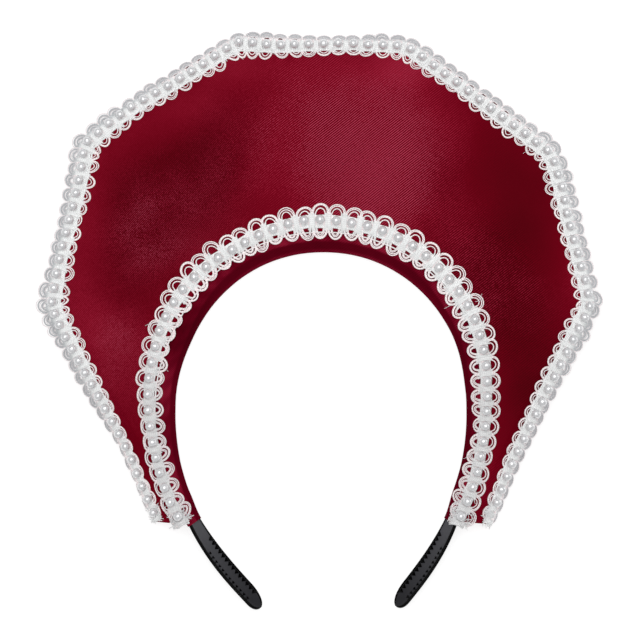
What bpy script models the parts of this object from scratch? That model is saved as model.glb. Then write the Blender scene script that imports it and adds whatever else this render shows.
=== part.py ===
"""Crown headpiece: a stiff satin-covered crescent panel round a hairband, edged with pearl braid.

It lies on its back. X runs across the panel, Y up it and Z out of its front, and the origin is on the
floor under the middle of the whole. The sizes below are in millimetres, and heights up the panel are
measured from the ends of the hairband. Every mesh is scaled to metres as it is made.
"""

import math
from bisect import bisect_right
from collections import namedtuple

import bmesh
import bpy
from mathutils import Vector

MM = 0.001

# The whole: the floor point under its middle, on the panel's plan
MIDDLE_X = -0.5
MIDDLE_HEIGHT = 121.0

# The hairband: its inner back edge is an arch on two legs that lean in to the ends
BAND_HALF_WIDTH = 62.9
BAND_ARCH_RISE = 68.7
BAND_ARCH_CENTRE = 82.0
BAND_ARCH_FULLNESS = 2.06
ARCH_LEAN = 1.0
ARCH_LEAN_FROM = 91.0
ARCH_LEAN_FULL = 116.0
LEG_PULL = (62.9, 51.0)
LEG_BEND = (52.4, 32.6)
LEG_END = (26.2, 2.6)
LEAN_HEIGHT = 48.0
LEAN_AT_ENDS = 3.0
ARCH_STEPS = 64
LEG_STEPS = 32
BAND_WIDTH = 9.0
BAND_THICKNESS = 1.5
BAND_CHAMFER = 0.4
BAND_TILT = math.radians(27)
END_TILT = math.radians(44)
END_ROUNDING = 4.2
END_STEPS = (0.0, 0.12, 0.35, 0.65)
TIP_HALF_WIDTH = 0.9

# The teeth on the inner face of each bare end
TEETH_IN_ROW = 14
TOOTH_PITCH = 2.2
TOOTH_RISE = 0.7
TOOTH_ROW_WIDTH = 1.5
TEETH_FROM_END = 4.8

# The satin sleeve on the hairband
SLEEVE_WALL = 1.0
SLEEVE_CHAMFER = 1.1
SLEEVE_END_HEIGHT = 36.8
SLEEVE_STEPS = 26
FIT_GAP = 0.3

# The panel: its front lies flush with the sleeve and leans back to the floor at the top
PANEL_THICKNESS = 2.6
PANEL_MARGIN = 8.0
PANEL_FOOT = 1.0
PANEL_STEP = 15.0
CUT_GAP = 0.45
CUT_TRIM = 2.5
CUT_STEPS = 160
LEAN_START = 150.0
PANEL_TOP = 241.0

# The pearl braid
BRAID_SEAT = 0.45
BRAID_THICKNESS = 1.1
LOOP_THICKNESS = 0.5
NOTCH_SHARE = 0.62
LOOP_SHARE = 0.2
PEARL_RADIUS = 1.95
PEARL_SIDES = 10
PEARL_RAISE = 0.3
PEARL_RINGS = (math.radians(-18), math.radians(36))
OUTER_PITCH = 6.0
INNER_PITCH = 6.65
ARCH_BRAID_TRIM = (2.6, 1.0)
ARCH_BRAID_STEPS = 96
TURN_SPAN = 12.0
CORNER_STEPS = 8
SIDE_STEPS = 12

# The braid along the outer edge, from the left foot round to the right: where its pearls run, how soft
# each corner is, how far the side after it bows out, how far the panel's edge lies beyond the pearls and
# falls back, the width of the inner and outer loops and how far the outer loops fall behind the edge
Corner = namedtuple(
    "Corner", "name x height radius bow edge_out edge_fall inner outer loop_fall"
)
OUTER_LINE = (
    Corner("left foot", -69.7, 36.8, 0, 0, 0.7, 6.0, 3.6, 2.0, 3.4),
    Corner("left leg", -82.6, 67.6, 0, 0, 0.9, 4.6, 3.6, 2.8, 3.0),
    Corner("left thigh", -99.6, 99.0, 0, 0, 1.6, 2.4, 4.9, 5.0, 2.0),
    Corner("left corner", -113.8, 127.9, 7, -0.9, 2.0, 0.8, 6.8, 6.2, 1.2),
    Corner("left shoulder", -99.5, 195.1, 8, 0.8, 2.0, 0.5, 7.2, 5.7, 1.0),
    Corner("top left", -35.7, 239.0, 10, 0, 1.9, 0.0, 7.6, 4.0, 0.8),
    Corner("top middle", 0.0, 237.4, 0, 0, 1.9, 0.0, 5.8, 4.0, 0.8),
    Corner("top right", 36.5, 237.1, 12, 0.5, 2.0, 0.0, 6.6, 4.4, 0.8),
    Corner("right shoulder", 97.4, 191.3, 10, 0, 2.0, 0.5, 7.2, 5.6, 1.0),
    Corner("right corner", 113.2, 127.5, 7, 0, 2.0, 0.8, 7.0, 5.6, 1.2),
    Corner("right thigh", 95.8, 92.4, 0, 0, 1.7, 2.4, 6.0, 4.6, 2.0),
    Corner("right leg", 80.4, 60.6, 0, 0, 1.2, 4.2, 4.9, 3.5, 3.0),
    Corner("right foot", 71.0, 35.9, 0, 0, 0.9, 5.4, 4.2, 2.5, 3.2),
)

# The braid along the arch, by its share of the way from the left foot to the right: how far its pearls lie
# outside the hairband's inner edge, and the width of the loops on the opening's side and on the panel's
Row = namedtuple("Row", "name share set_back inner outer")
INNER_LINE = (
    Row("left foot", 0.0, 7.6, 6.6, 4.2),
    Row("left shin", 0.12, 9.4, 6.6, 4.2),
    Row("left waist", 0.24, 11.1, 6.4, 6.2),
    Row("left shoulder", 0.31, 11.9, 6.2, 7.2),
    Row("left crest", 0.41, 11.2, 6.8, 6.4),
    Row("crest", 0.50, 11.7, 7.6, 6.8),
    Row("right crest", 0.62, 11.1, 7.0, 7.0),
    Row("right shoulder", 0.72, 9.9, 7.3, 6.8),
    Row("right waist", 0.82, 6.9, 6.4, 6.0),
    Row("right shin", 0.91, 5.6, 5.9, 5.6),
    Row("right foot", 1.0, 5.5, 6.1, 4.9),
)


class Line:
    """A path on the panel's plan, read by the distance run along it from its left end."""

    def __init__(self, points):
        self.points = [Vector(point) for point in points]
        self.runs = [0.0]
        for a, b in zip(self.points, self.points[1:]):
            self.runs.append(self.runs[-1] + (b - a).length)
        self.length = self.runs[-1]

    def at(self, run):
        """The point at this run. Past either end the line goes straight on."""
        i = min(max(bisect_right(self.runs, run) - 1, 0), len(self.points) - 2)
        share = (run - self.runs[i]) / (self.runs[i + 1] - self.runs[i])
        return self.points[i].lerp(self.points[i + 1], share)

    def along(self, run, span=2.0):
        return (self.at(run + span / 2) - self.at(run - span / 2)).normalized()

    def outward(self, run, span=2.0):
        """The direction away from the head. A long span turns it gently round a corner."""
        ahead = self.along(run, span)
        return Vector((-ahead.y, ahead.x))

    def cut(self, start, end):
        """The stretch between two runs."""
        inside = [p for p, run in zip(self.points, self.runs) if start < run < end]
        return Line([self.at(start), *inside, self.at(end)])


def band_line():
    """The hairband's inner back edge, from the left end over the arch to the right end."""
    p0, p1, p2, p3 = (
        Vector(p)
        for p in ((BAND_HALF_WIDTH, BAND_ARCH_CENTRE), LEG_PULL, LEG_BEND, LEG_END)
    )
    leg = []
    for i in range(1, LEG_STEPS + 1):
        t = i / LEG_STEPS
        s = 1 - t
        leg.append(s**3 * p0 + 3 * s * s * t * p1 + 3 * s * t * t * p2 + t**3 * p3)
    arch = []
    power = 2 / BAND_ARCH_FULLNESS
    for i in range(ARCH_STEPS + 1):
        turn = math.pi * (1 - i / ARCH_STEPS)
        across = math.copysign(abs(math.cos(turn)) ** power, math.cos(turn))
        up = max(0.0, math.sin(turn)) ** power
        arch.append(
            Vector((BAND_HALF_WIDTH * across, BAND_ARCH_CENTRE + BAND_ARCH_RISE * up))
        )
    points = [Vector((-p.x, p.y)) for p in reversed(leg)] + arch + leg
    for point in points:
        point.x += LEAN_AT_ENDS * max(0.0, 1 - point.y / LEAN_HEIGHT)
        share = (point.y - ARCH_LEAN_FROM) / (ARCH_LEAN_FULL - ARCH_LEAN_FROM)
        share = min(max(share, 0.0), 1.0)
        point.x += ARCH_LEAN * share * share * (3 - 2 * share)
    return Line(points)


def run_at_height(line, height, left):
    """Where the line passes this height, on its left or right half."""
    low, high = (0.0, line.length / 2) if left else (line.length, line.length / 2)
    for _ in range(40):
        middle = (low + high) / 2
        if line.at(middle).y < height:
            low = middle
        else:
            high = middle
    return low


def corner_arc(before, corner, after, radius):
    """The points of a rounded corner, or the corner itself where it has no rounding."""
    if not radius:
        return [corner]
    ahead, away = (corner - before).normalized(), (after - corner).normalized()
    turn = ahead.angle(away)
    start = corner - ahead * radius * math.tan(turn / 2)
    centre = start + Vector((ahead.y, -ahead.x)) * radius
    arc = []
    for i in range(CORNER_STEPS + 1):
        angle = -turn * i / CORNER_STEPS
        spoke = start - centre
        arc.append(
            centre
            + Vector(
                (
                    spoke.x * math.cos(angle) - spoke.y * math.sin(angle),
                    spoke.x * math.sin(angle) + spoke.y * math.cos(angle),
                )
            )
        )
    return arc


def outer_line():
    """The line of the outer pearls, and the run of each named corner on it."""
    places = [Vector((corner.x, corner.height)) for corner in OUTER_LINE]
    last = len(places) - 1
    points, middles = [], []
    for i, corner in enumerate(OUTER_LINE):
        arc = corner_arc(
            places[max(i - 1, 0)], places[i], places[min(i + 1, last)], corner.radius
        )
        if points:
            start, end = points[-1], arc[0]
            side = (end - start).normalized()
            out = Vector((-side.y, side.x)) * OUTER_LINE[i - 1].bow
            for j in range(1, SIDE_STEPS):
                t = j / SIDE_STEPS
                points.append(start.lerp(end, t) + out * 4 * t * (1 - t))
        middles.append(len(points) + len(arc) // 2)
        points.extend(arc)
    line = Line(points)
    return line, [line.runs[i] for i in middles]


def table_reader(rows, places):
    """A function that gives the value of a named column at a place, straight between its rows."""

    def read(column, place):
        i = min(max(bisect_right(places, place) - 1, 0), len(places) - 2)
        share = min(max((place - places[i]) / (places[i + 1] - places[i]), 0.0), 1.0)
        a, b = getattr(rows[i], column), getattr(rows[i + 1], column)
        return a + (b - a) * share

    return read


BAND = band_line()
LEFT_SLEEVE_END = run_at_height(BAND, SLEEVE_END_HEIGHT, left=True)
RIGHT_SLEEVE_END = run_at_height(BAND, SLEEVE_END_HEIGHT, left=False)
OUTER, CORNER_RUNS = outer_line()
outer_row = table_reader(OUTER_LINE, CORNER_RUNS)
inner_row = table_reader(INNER_LINE, [row.share for row in INNER_LINE])

# The front of the sleeve, which is the panel's front too
BAND_LIFT = SLEEVE_WALL + FIT_GAP
FRONT = (
    2 * BAND_LIFT
    + BAND_WIDTH * math.cos(BAND_TILT)
    + BAND_THICKNESS * math.sin(BAND_TILT)
)
PANEL_LEAN = FRONT - PANEL_THICKNESS
CUT_OUT = (
    BAND_WIDTH * math.sin(BAND_TILT)
    + BAND_THICKNESS * math.cos(BAND_TILT)
    + BAND_LIFT
    + CUT_GAP
)


def inner_line():
    """The line of the pearls along the arch."""
    left, right = ARCH_BRAID_TRIM
    stretch = BAND.cut(LEFT_SLEEVE_END + left, RIGHT_SLEEVE_END - right)
    points = []
    for i in range(ARCH_BRAID_STEPS + 1):
        share = i / ARCH_BRAID_STEPS
        run = share * stretch.length
        out = stretch.outward(run, TURN_SPAN)
        points.append(stretch.at(run) + out * inner_row("set_back", share))
    return Line(points)


def lean(height):
    """How far the panel has leaned back at this height."""
    return (
        PANEL_LEAN
        * max(0.0, (height - LEAN_START) / (PANEL_TOP - LEAN_START)) ** 2
    )


def front_at(height, run, inside):
    """The panel's front face this far inside its edge, beside this run of the outer pearls."""
    fall = outer_row("edge_fall", run) * max(0.0, 1 - inside / PANEL_MARGIN)
    return FRONT - lean(height) - fall


def placed(point, z):
    """A point of the panel's plan as a place in the model, in metres."""
    return Vector((point.x - MIDDLE_X, point.y - MIDDLE_HEIGHT, z)) * MM


def material(name, colour, roughness):
    made = bpy.data.materials.new(name)
    made.use_nodes = True
    shader = made.node_tree.nodes["Principled BSDF"]
    shader.inputs["Base Color"].default_value = (*colour, 1.0)
    shader.inputs["Roughness"].default_value = roughness
    made.diffuse_color = (*colour, 1.0)
    return made


def add_solid(name, corners, faces, finish, crease=math.radians(35)):
    """Makes one closed mesh object from its corners, in metres, and its faces."""
    mesh = bpy.data.meshes.new(name)
    mesh.from_pydata(corners, [], faces)
    work = bmesh.new()
    work.from_mesh(mesh)
    bmesh.ops.recalc_face_normals(work, faces=work.faces)
    work.to_mesh(mesh)
    work.free()
    mesh.shade_smooth()
    mesh.set_sharp_from_angle(angle=crease)
    mesh.materials.append(finish)
    solid = bpy.data.objects.new(name, mesh)
    bpy.context.scene.collection.objects.link(solid)
    return solid


def ring_faces(count, sides):
    """The faces between each ring of corners and the next, where every ring has this many sides."""
    return [
        (
            i * sides + k,
            i * sides + (k + 1) % sides,
            (i + 1) * sides + (k + 1) % sides,
            (i + 1) * sides + k,
        )
        for i in range(count - 1)
        for k in range(sides)
    ]


def band_tilt(run):
    """How far the band's inner face is turned to the front, more in the bare ends."""
    bare = max(LEFT_SLEEVE_END - run, run - RIGHT_SLEEVE_END, 0.0)
    return BAND_TILT + (END_TILT - BAND_TILT) * min(1.0, bare / LEFT_SLEEVE_END)


def band_section(run, outline):
    """A ring of corners round the band, from (across its width, through its thickness) pairs."""
    tilt = band_tilt(run)
    low_edge = BAND_LIFT + BAND_THICKNESS * math.sin(tilt)
    foot, out = BAND.at(run), BAND.outward(run)
    ring = []
    for across, through in outline:
        reach = across * math.sin(tilt) + through * math.cos(tilt)
        z = low_edge + across * math.cos(tilt) - through * math.sin(tilt)
        ring.append(placed(foot + out * reach, z))
    return ring


def band_outline(from_end):
    """The hairband's own section, narrower near its rounded ends, with the lines of its teeth."""
    short = max(0.0, 1 - from_end / END_ROUNDING)
    half = max(BAND_WIDTH / 2 * math.sqrt(1 - short * short), TIP_HALF_WIDTH)
    low, high = BAND_WIDTH / 2 - half, BAND_WIDTH / 2 + half
    c, t = BAND_CHAMFER, BAND_THICKNESS
    row = min(TOOTH_ROW_WIDTH, half - 2 * c)
    return (
        (low + c, 0),
        (low + c + row, 0),
        (high - c - row, 0),
        (high - c, 0),
        (high, c),
        (high, t),
        (low, t),
        (low, c),
    )


def headband(finish):
    """The hard band: one ring of corners at each step, and a small peak on each face of a tooth row."""
    teeth = [TEETH_FROM_END + TOOTH_PITCH * i for i in range(TEETH_IN_ROW + 1)]
    rounding = [END_ROUNDING * share for share in END_STEPS]
    bare = rounding + [END_ROUNDING] + teeth
    covered = [
        LEFT_SLEEVE_END
        + (RIGHT_SLEEVE_END - LEFT_SLEEVE_END) * i / SLEEVE_STEPS
        for i in range(SLEEVE_STEPS + 1)
    ]
    runs = bare + covered + [BAND.length - run for run in reversed(bare)]
    corners = []
    for run in runs:
        from_end = min(run, BAND.length - run)
        corners.extend(band_section(run, band_outline(from_end)))
    sides = len(band_outline(0.0))
    faces = ring_faces(len(runs), sides)
    faces.append(tuple(range(sides)))
    faces.append(tuple(range(len(corners) - sides, len(corners))))
    first = len(rounding) + 1
    steps = range(first, first + TEETH_IN_ROW)
    steps = [*steps, *(len(runs) - 2 - step for step in steps)]
    toothed = {step * sides + side for step in steps for side in (0, 2)}
    raised = []
    for i, face in enumerate(faces):
        if i not in toothed:
            raised.append(face)
            continue
        middle = sum((corners[k] for k in face), Vector()) / 4
        step = i // sides
        out = BAND.outward((runs[step] + runs[step + 1]) / 2)
        tilt = band_tilt(runs[step])
        inward = Vector((-out.x * math.cos(tilt), -out.y * math.cos(tilt), math.sin(tilt)))
        corners.append(middle + inward * TOOTH_RISE * MM)
        peak = len(corners) - 1
        raised.extend((face[k], face[(k + 1) % 4], peak) for k in range(4))
    return add_solid("headband", corners, raised, finish)


def sleeve_outline(grow, chamfer):
    """The band's section grown all round by this much, with its corners cut off."""
    low, wide, thick = -grow, BAND_WIDTH + grow, BAND_THICKNESS + grow
    return (
        (low + chamfer, low),
        (wide - chamfer, low),
        (wide, low + chamfer),
        (wide, thick - chamfer),
        (wide - chamfer, thick),
        (low + chamfer, thick),
        (low, thick - chamfer),
        (low, low + chamfer),
    )


def band_sleeve(finish):
    """The satin tube round the band, open at both ends, its back pressed flat where it rests."""
    outer = sleeve_outline(SLEEVE_WALL + FIT_GAP, SLEEVE_CHAMFER)
    inner = sleeve_outline(FIT_GAP, BAND_CHAMFER)
    flat = (6, 7)
    steps = SLEEVE_STEPS + 1
    outside, inside = [], []
    for i in range(steps):
        run = (
            LEFT_SLEEVE_END
            + (RIGHT_SLEEVE_END - LEFT_SLEEVE_END) * i / SLEEVE_STEPS
        )
        ring = band_section(run, outer)
        for k in flat:
            ring[k].z = 0.0
        outside.extend(ring)
        inside.extend(band_section(run, inner))
    sides = len(outer)
    faces = ring_faces(steps, sides)
    first = len(outside)
    faces.extend(tuple(first + k for k in face) for face in ring_faces(steps, sides))
    for start in (0, first - sides):
        for k in range(sides):
            a, b = start + k, start + (k + 1) % sides
            faces.append((a, b, first + b, first + a))
    return add_solid("band_sleeve", outside + inside, faces, finish)


def bearing(point):
    """The turn of a plan point round the arch's centre, from the left over the top."""
    turn = math.atan2(point.y - BAND_ARCH_CENTRE, -point.x)
    return turn if turn > -math.pi / 2 else turn + 2 * math.pi


def panel_runs():
    """The runs of the outer pearls beside which the panel has a row of corners."""
    runs = []
    for i, (corner, run) in enumerate(zip(OUTER_LINE, CORNER_RUNS)):
        half = corner.radius / 2
        runs.extend([run - half, run, run + half] if half else [run])
        if i + 1 < len(CORNER_RUNS):
            start = run + half
            end = CORNER_RUNS[i + 1] - OUTER_LINE[i + 1].radius / 2
            steps = max(1, round((end - start) / PANEL_STEP))
            runs.extend(start + (end - start) * j / steps for j in range(1, steps))
    runs[0] -= PANEL_FOOT
    runs[-1] += PANEL_FOOT
    return runs


def cut_line():
    """The edge of the arch cut out of the panel, just outside the sleeve."""
    low = LEFT_SLEEVE_END + CUT_TRIM
    high = RIGHT_SLEEVE_END - CUT_TRIM
    points = []
    for i in range(CUT_STEPS + 1):
        run = low + (high - low) * i / CUT_STEPS
        points.append(BAND.at(run) + BAND.outward(run) * CUT_OUT)
    return Line(points)


def at_bearing(line, turn):
    """The point of the line at this turn round the arch's centre."""
    turns = [bearing(point) for point in line.points]
    i = min(max(bisect_right(turns, turn) - 1, 0), len(turns) - 2)
    share = (turn - turns[i]) / (turns[i + 1] - turns[i])
    return line.points[i].lerp(line.points[i + 1], min(max(share, 0.0), 1.0))


def crown_panel(finish):
    """The covered board: rows of corners from the arch cut to the edge, a front and a back."""
    cut = cut_line()
    runs = panel_runs()
    edges = [
        OUTER.at(run) + OUTER.outward(run, TURN_SPAN) * outer_row("edge_out", run)
        for run in runs
    ]
    first_out, last_out = bearing(edges[0]), bearing(edges[-1])
    first_in, last_in = bearing(cut.points[0]), bearing(cut.points[-1])
    spread = (last_in - first_in) / (last_out - first_out)
    sides = 10
    corners = []
    for i, (run, edge) in enumerate(zip(runs, edges)):
        turn = first_in + (bearing(edge) - first_out) * spread
        inner = at_bearing(cut, turn)
        straight_in = -OUTER.outward(run, TURN_SPAN)
        at_foot = i in (0, len(runs) - 1)
        inward = (inner - edge).normalized() if at_foot else straight_in
        fold = edge + inward * PANEL_MARGIN / inward.dot(straight_in)
        row = [inner, inner.lerp(fold, 1 / 3), inner.lerp(fold, 2 / 3), fold, edge]
        inside = [PANEL_MARGIN] * 4 + [0.0]
        tops = [front_at(p.y, run, d) for p, d in zip(row, inside)]
        corners.extend(placed(p, z) for p, z in zip(row, tops))
        back = [placed(p, z - PANEL_THICKNESS) for p, z in zip(row, tops)]
        corners.extend(reversed(back))
    faces = ring_faces(len(runs), sides)
    faces.append(tuple(range(sides)))
    faces.append(tuple(range(len(corners) - sides, len(corners))))
    return add_solid("crown_panel", corners, faces, finish)


def pearl_braid(name, line, pitch, loops, seat, finish):
    """One pearl braid: a scalloped strip with a pearl fused to each repeat.

    loops gives the width of the inner and outer loops at a run, and seat the height of the strip's
    underside at a run and a distance outside the pearls.
    """
    count = round(line.length / pitch)
    step = line.length / count
    corners, faces = [], []

    def add(run, out, along, z):
        facing = line.outward(run, TURN_SPAN)
        ahead = Vector((facing.y, -facing.x))
        corners.append(placed(line.at(run) + facing * out + ahead * along, z))
        return len(corners) - 1

    joints = []
    for i in range(count + 1):
        run = i * step
        inner, outer = loops(run)
        outs = (-NOTCH_SHARE * inner, 0.0, NOTCH_SHARE * outer)
        under = [add(run, out, 0.0, seat(run, out)) for out in outs]
        over = [add(run, out, 0.0, seat(run, out) + BRAID_THICKNESS) for out in outs]
        joints.append((under, over))
    for i in range(count):
        run = (i + 0.5) * step
        inner, outer = loops(run)
        under, over = joints[i]
        next_under, next_over = joints[i + 1]
        reach = LOOP_SHARE * step
        tips = []
        for out, along in ((outer, reach), (outer, -reach), (-inner, -reach), (-inner, reach)):
            z = seat(run, out) + LOOP_THICKNESS
            tips.append(add(run, out, along, z))
        rim = [
            next_over[1],
            next_over[2],
            tips[0],
            tips[1],
            over[2],
            over[1],
            over[0],
            tips[2],
            tips[3],
            next_over[0],
        ]
        centre = seat(run, 0.0) + BRAID_THICKNESS + PEARL_RADIUS * PEARL_RAISE
        rings = []
        for latitude in PEARL_RINGS:
            radius = PEARL_RADIUS * math.cos(latitude)
            z = centre + PEARL_RADIUS * math.sin(latitude)
            ring = []
            for k in range(PEARL_SIDES):
                turn = 2 * math.pi * k / PEARL_SIDES
                ring.append(add(run, radius * math.sin(turn), radius * math.cos(turn), z))
            rings.append(ring)
        top = add(run, 0.0, 0.0, centre + PEARL_RADIUS)
        for k in range(PEARL_SIDES):
            j = (k + 1) % PEARL_SIDES
            faces.append((rim[k], rim[j], rings[0][j], rings[0][k]))
            faces.append((rings[0][k], rings[0][j], rings[1][j], rings[1][k]))
            faces.append((rings[1][k], rings[1][j], top))
        for a, b in ((0, 1), (1, 2)):
            faces.append((under[a], under[b], next_under[b], next_under[a]))
        for side, near, far in ((2, tips[1], tips[0]), (0, tips[2], tips[3])):
            faces.append((under[side], over[side], near))
            faces.append((under[side], near, far, next_under[side]))
            faces.append((next_under[side], far, next_over[side]))
    for under, over in (joints[0], joints[-1]):
        faces.append((*under, *reversed(over)))
    return add_solid(name, corners, faces, finish)


def outer_loops(run):
    return outer_row("inner", run), outer_row("outer", run)


def outer_seat(run, out):
    """The underside of the outer braid, which follows the panel and falls over its edge."""
    beyond = out / outer_row("outer", run)
    fall = outer_row("loop_fall", run) if beyond > NOTCH_SHARE + 0.01 else 0.0
    height = (OUTER.at(run) + OUTER.outward(run, TURN_SPAN) * out).y
    inside = outer_row("edge_out", run) - out
    return front_at(height, run, inside) + BRAID_SEAT - fall


def clear_scene():
    for thing in list(bpy.data.objects):
        bpy.data.objects.remove(thing, do_unlink=True)


def build():
    clear_scene()
    satin = material("crimson satin", (0.195, 0.003, 0.010), 0.42)
    sleeve_satin = material("crimson satin sleeve", (0.150, 0.002, 0.008), 0.45)
    plastic = material("black plastic", (0.020, 0.020, 0.022), 0.35)
    thread = material("white pearl braid", (0.82, 0.83, 0.82), 0.45)
    arch_thread = material("white pearl arch braid", (0.80, 0.81, 0.80), 0.45)
    crown_panel(satin)
    headband(plastic)
    band_sleeve(sleeve_satin)
    pearl_braid("braid_outer", OUTER, OUTER_PITCH, outer_loops, outer_seat, thread)
    arch = inner_line()

    def arch_loops(run):
        share = run / arch.length
        return inner_row("inner", share), inner_row("outer", share)

    def arch_seat(run, out):
        height = (arch.at(run) + arch.outward(run, TURN_SPAN) * out).y
        return FRONT + BRAID_SEAT - lean(height)

    pearl_braid("braid_inner", arch, INNER_PITCH, arch_loops, arch_seat, arch_thread)


build()
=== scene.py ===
"""Looks of the crown headpiece: satin over a board, a covered hairband and two pearl braids.

The headpiece lies on its back. X runs across the panel, Y up it and Z out of its front. Sizes below are in
millimetres, heights up the panel are measured from the hairband's ends, and meshes are made in metres.
"""

import logging
import math
from collections.abc import Callable, Sequence
from dataclasses import dataclass, field
from enum import Enum

import bmesh
import bpy
import numpy as np
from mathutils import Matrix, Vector


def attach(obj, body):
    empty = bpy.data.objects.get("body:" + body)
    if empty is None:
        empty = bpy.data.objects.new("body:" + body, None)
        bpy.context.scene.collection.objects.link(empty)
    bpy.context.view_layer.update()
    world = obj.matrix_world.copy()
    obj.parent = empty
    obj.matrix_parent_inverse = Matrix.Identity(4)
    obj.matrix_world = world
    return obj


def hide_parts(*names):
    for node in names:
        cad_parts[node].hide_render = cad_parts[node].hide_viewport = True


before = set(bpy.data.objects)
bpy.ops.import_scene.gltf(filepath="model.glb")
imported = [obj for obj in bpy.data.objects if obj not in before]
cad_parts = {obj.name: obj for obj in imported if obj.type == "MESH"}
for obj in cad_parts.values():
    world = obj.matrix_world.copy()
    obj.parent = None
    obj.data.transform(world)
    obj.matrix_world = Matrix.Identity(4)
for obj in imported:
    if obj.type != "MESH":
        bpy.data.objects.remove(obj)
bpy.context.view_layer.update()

log = logging.getLogger("crown_headpiece")

MM = 0.001
# Where the model's origin lies on the panel's plan.
MIDDLE_X = -0.5
MIDDLE_HEIGHT = 121.0
# The stretch over which the panel's edge and the braids take their direction, so that corners turn softly.
TURN_SPAN = 12.0

Array = np.ndarray
Finish = bpy.types.Material
Node = bpy.types.Node
Object = bpy.types.Object
Socket = bpy.types.NodeSocket
Tree = bpy.types.NodeTree
Pairs = tuple[tuple[float, float], ...]


@dataclass(frozen=True)
class Corner:
    """A named place on the outer braid: where its pearls run, and how the panel's edge and loops lie there.

    The radius rounds the corner, and the bow curves the stretch after it.
    """

    name: str
    x: float
    height: float
    radius: float
    bow: float
    edge_out: float
    edge_fall: float
    inner: float
    outer: float
    loop_fall: float


OUTER_LINE = (
    Corner("left foot", -69.7, 36.8, 0, 0, 0.7, 6.0, 3.6, 2.0, 3.4),
    Corner("left leg", -82.6, 67.6, 0, 0, 0.9, 4.6, 3.6, 2.8, 3.0),
    Corner("left thigh", -99.6, 99.0, 0, 0, 1.6, 2.4, 4.9, 5.0, 2.0),
    Corner("left corner", -113.8, 127.9, 7, -0.9, 2.0, 0.8, 6.8, 6.2, 1.2),
    Corner("left shoulder", -99.5, 195.1, 8, 0.8, 2.0, 0.5, 7.2, 5.7, 1.0),
    Corner("top left", -35.7, 239.0, 10, 0, 1.9, 0.0, 7.6, 4.0, 0.8),
    Corner("top middle", 0.0, 237.4, 0, 0, 1.9, 0.0, 5.8, 4.0, 0.8),
    Corner("top right", 36.5, 237.1, 12, 0.5, 2.0, 0.0, 6.6, 4.4, 0.8),
    Corner("right shoulder", 97.4, 191.3, 10, 0, 2.0, 0.5, 7.2, 5.6, 1.0),
    Corner("right corner", 113.2, 127.5, 7, 0, 2.0, 0.8, 7.0, 5.6, 1.2),
    Corner("right thigh", 95.8, 92.4, 0, 0, 1.7, 2.4, 6.0, 4.6, 2.0),
    Corner("right leg", 80.4, 60.6, 0, 0, 1.2, 4.2, 4.9, 3.5, 3.0),
    Corner("right foot", 71.0, 35.9, 0, 0, 0.9, 5.4, 4.2, 2.5, 3.2),
)


@dataclass(frozen=True)
class Row:
    """A named place on the arch braid, by its share of the way from the left foot to the right."""

    name: str
    share: float
    set_back: float
    inner: float
    outer: float


INNER_LINE = (
    Row("left foot", 0.0, 7.6, 6.5, 4.0),
    Row("left ankle", 0.065, 8.6, 8.1, 2.8),
    Row("left shin", 0.12, 9.4, 6.8, 3.4),
    Row("left waist", 0.24, 11.1, 6.4, 6.2),
    Row("left shoulder", 0.31, 11.9, 6.5, 7.2),
    Row("left crest", 0.41, 11.2, 7.3, 6.4),
    Row("crest", 0.50, 11.7, 8.0, 6.8),
    Row("right crest", 0.62, 11.1, 7.6, 7.0),
    Row("right shoulder", 0.72, 9.9, 8.2, 6.8),
    Row("right waist", 0.82, 6.9, 6.4, 6.0),
    Row("right shin", 0.91, 5.6, 6.4, 5.6),
    Row("right foot", 1.0, 5.5, 7.0, 4.9),
)


class Path:
    """A path on the panel's plan, read by the distance run along it from its left end."""

    def __init__(self, points: Array) -> None:
        """Keeps the points and the distance run to each.

        Args:
            points: One row of x and height for each point.
        """
        self.points = np.asarray(points, float)
        steps = np.linalg.norm(np.diff(self.points, axis=0), axis=1)
        self.runs = np.concatenate([[0.0], np.cumsum(steps)])
        self.length = float(self.runs[-1])

    def at(self, run: Array) -> Array:
        """Finds places on the path, which goes straight on past either end.

        Args:
            run: The distance run to each.

        Returns:
            The x and height of each.
        """
        run = np.asarray(run, float)
        i = np.clip(np.searchsorted(self.runs, run, side="right") - 1, 0, len(self.runs) - 2)
        share = (run - self.runs[i]) / (self.runs[i + 1] - self.runs[i])
        a, b = self.points[i], self.points[i + 1]
        return a + (b - a) * share[..., None]

    def ahead(self, run: Array, span: float = 2.0) -> Array:
        """Unit directions along the path, taken over a span of it."""
        step = self.at(run + span / 2) - self.at(run - span / 2)
        return step / np.linalg.norm(step, axis=-1, keepdims=True)

    def outward(self, run: Array, span: float = 2.0) -> Array:
        """Unit directions away from the head."""
        ahead = self.ahead(run, span)
        return np.stack([-ahead[..., 1], ahead[..., 0]], axis=-1)

    def cut(self, start: float, end: float) -> "Path":
        """The stretch between two runs."""
        inside = self.points[(self.runs > start) & (self.runs < end)]
        return Path(np.vstack([self.at(start), inside, self.at(end)]))

    def run_at_height(self, height: float, left: bool) -> float:
        """Finds where the path passes a height.

        Args:
            height: The height.
            left: Whether to look on the left half, not the right one.

        Returns:
            The distance run to there.
        """
        low, high = (0.0, self.length / 2) if left else (self.length, self.length / 2)
        for _ in range(40):
            middle = (low + high) / 2
            low, high = (middle, high) if self.at(middle)[1] < height else (low, middle)
        return low


def smooth(share: Array) -> Array:
    """A soft step from 0 to 1."""
    share = np.clip(share, 0.0, 1.0)
    return share * share * (3 - 2 * share)


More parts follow.
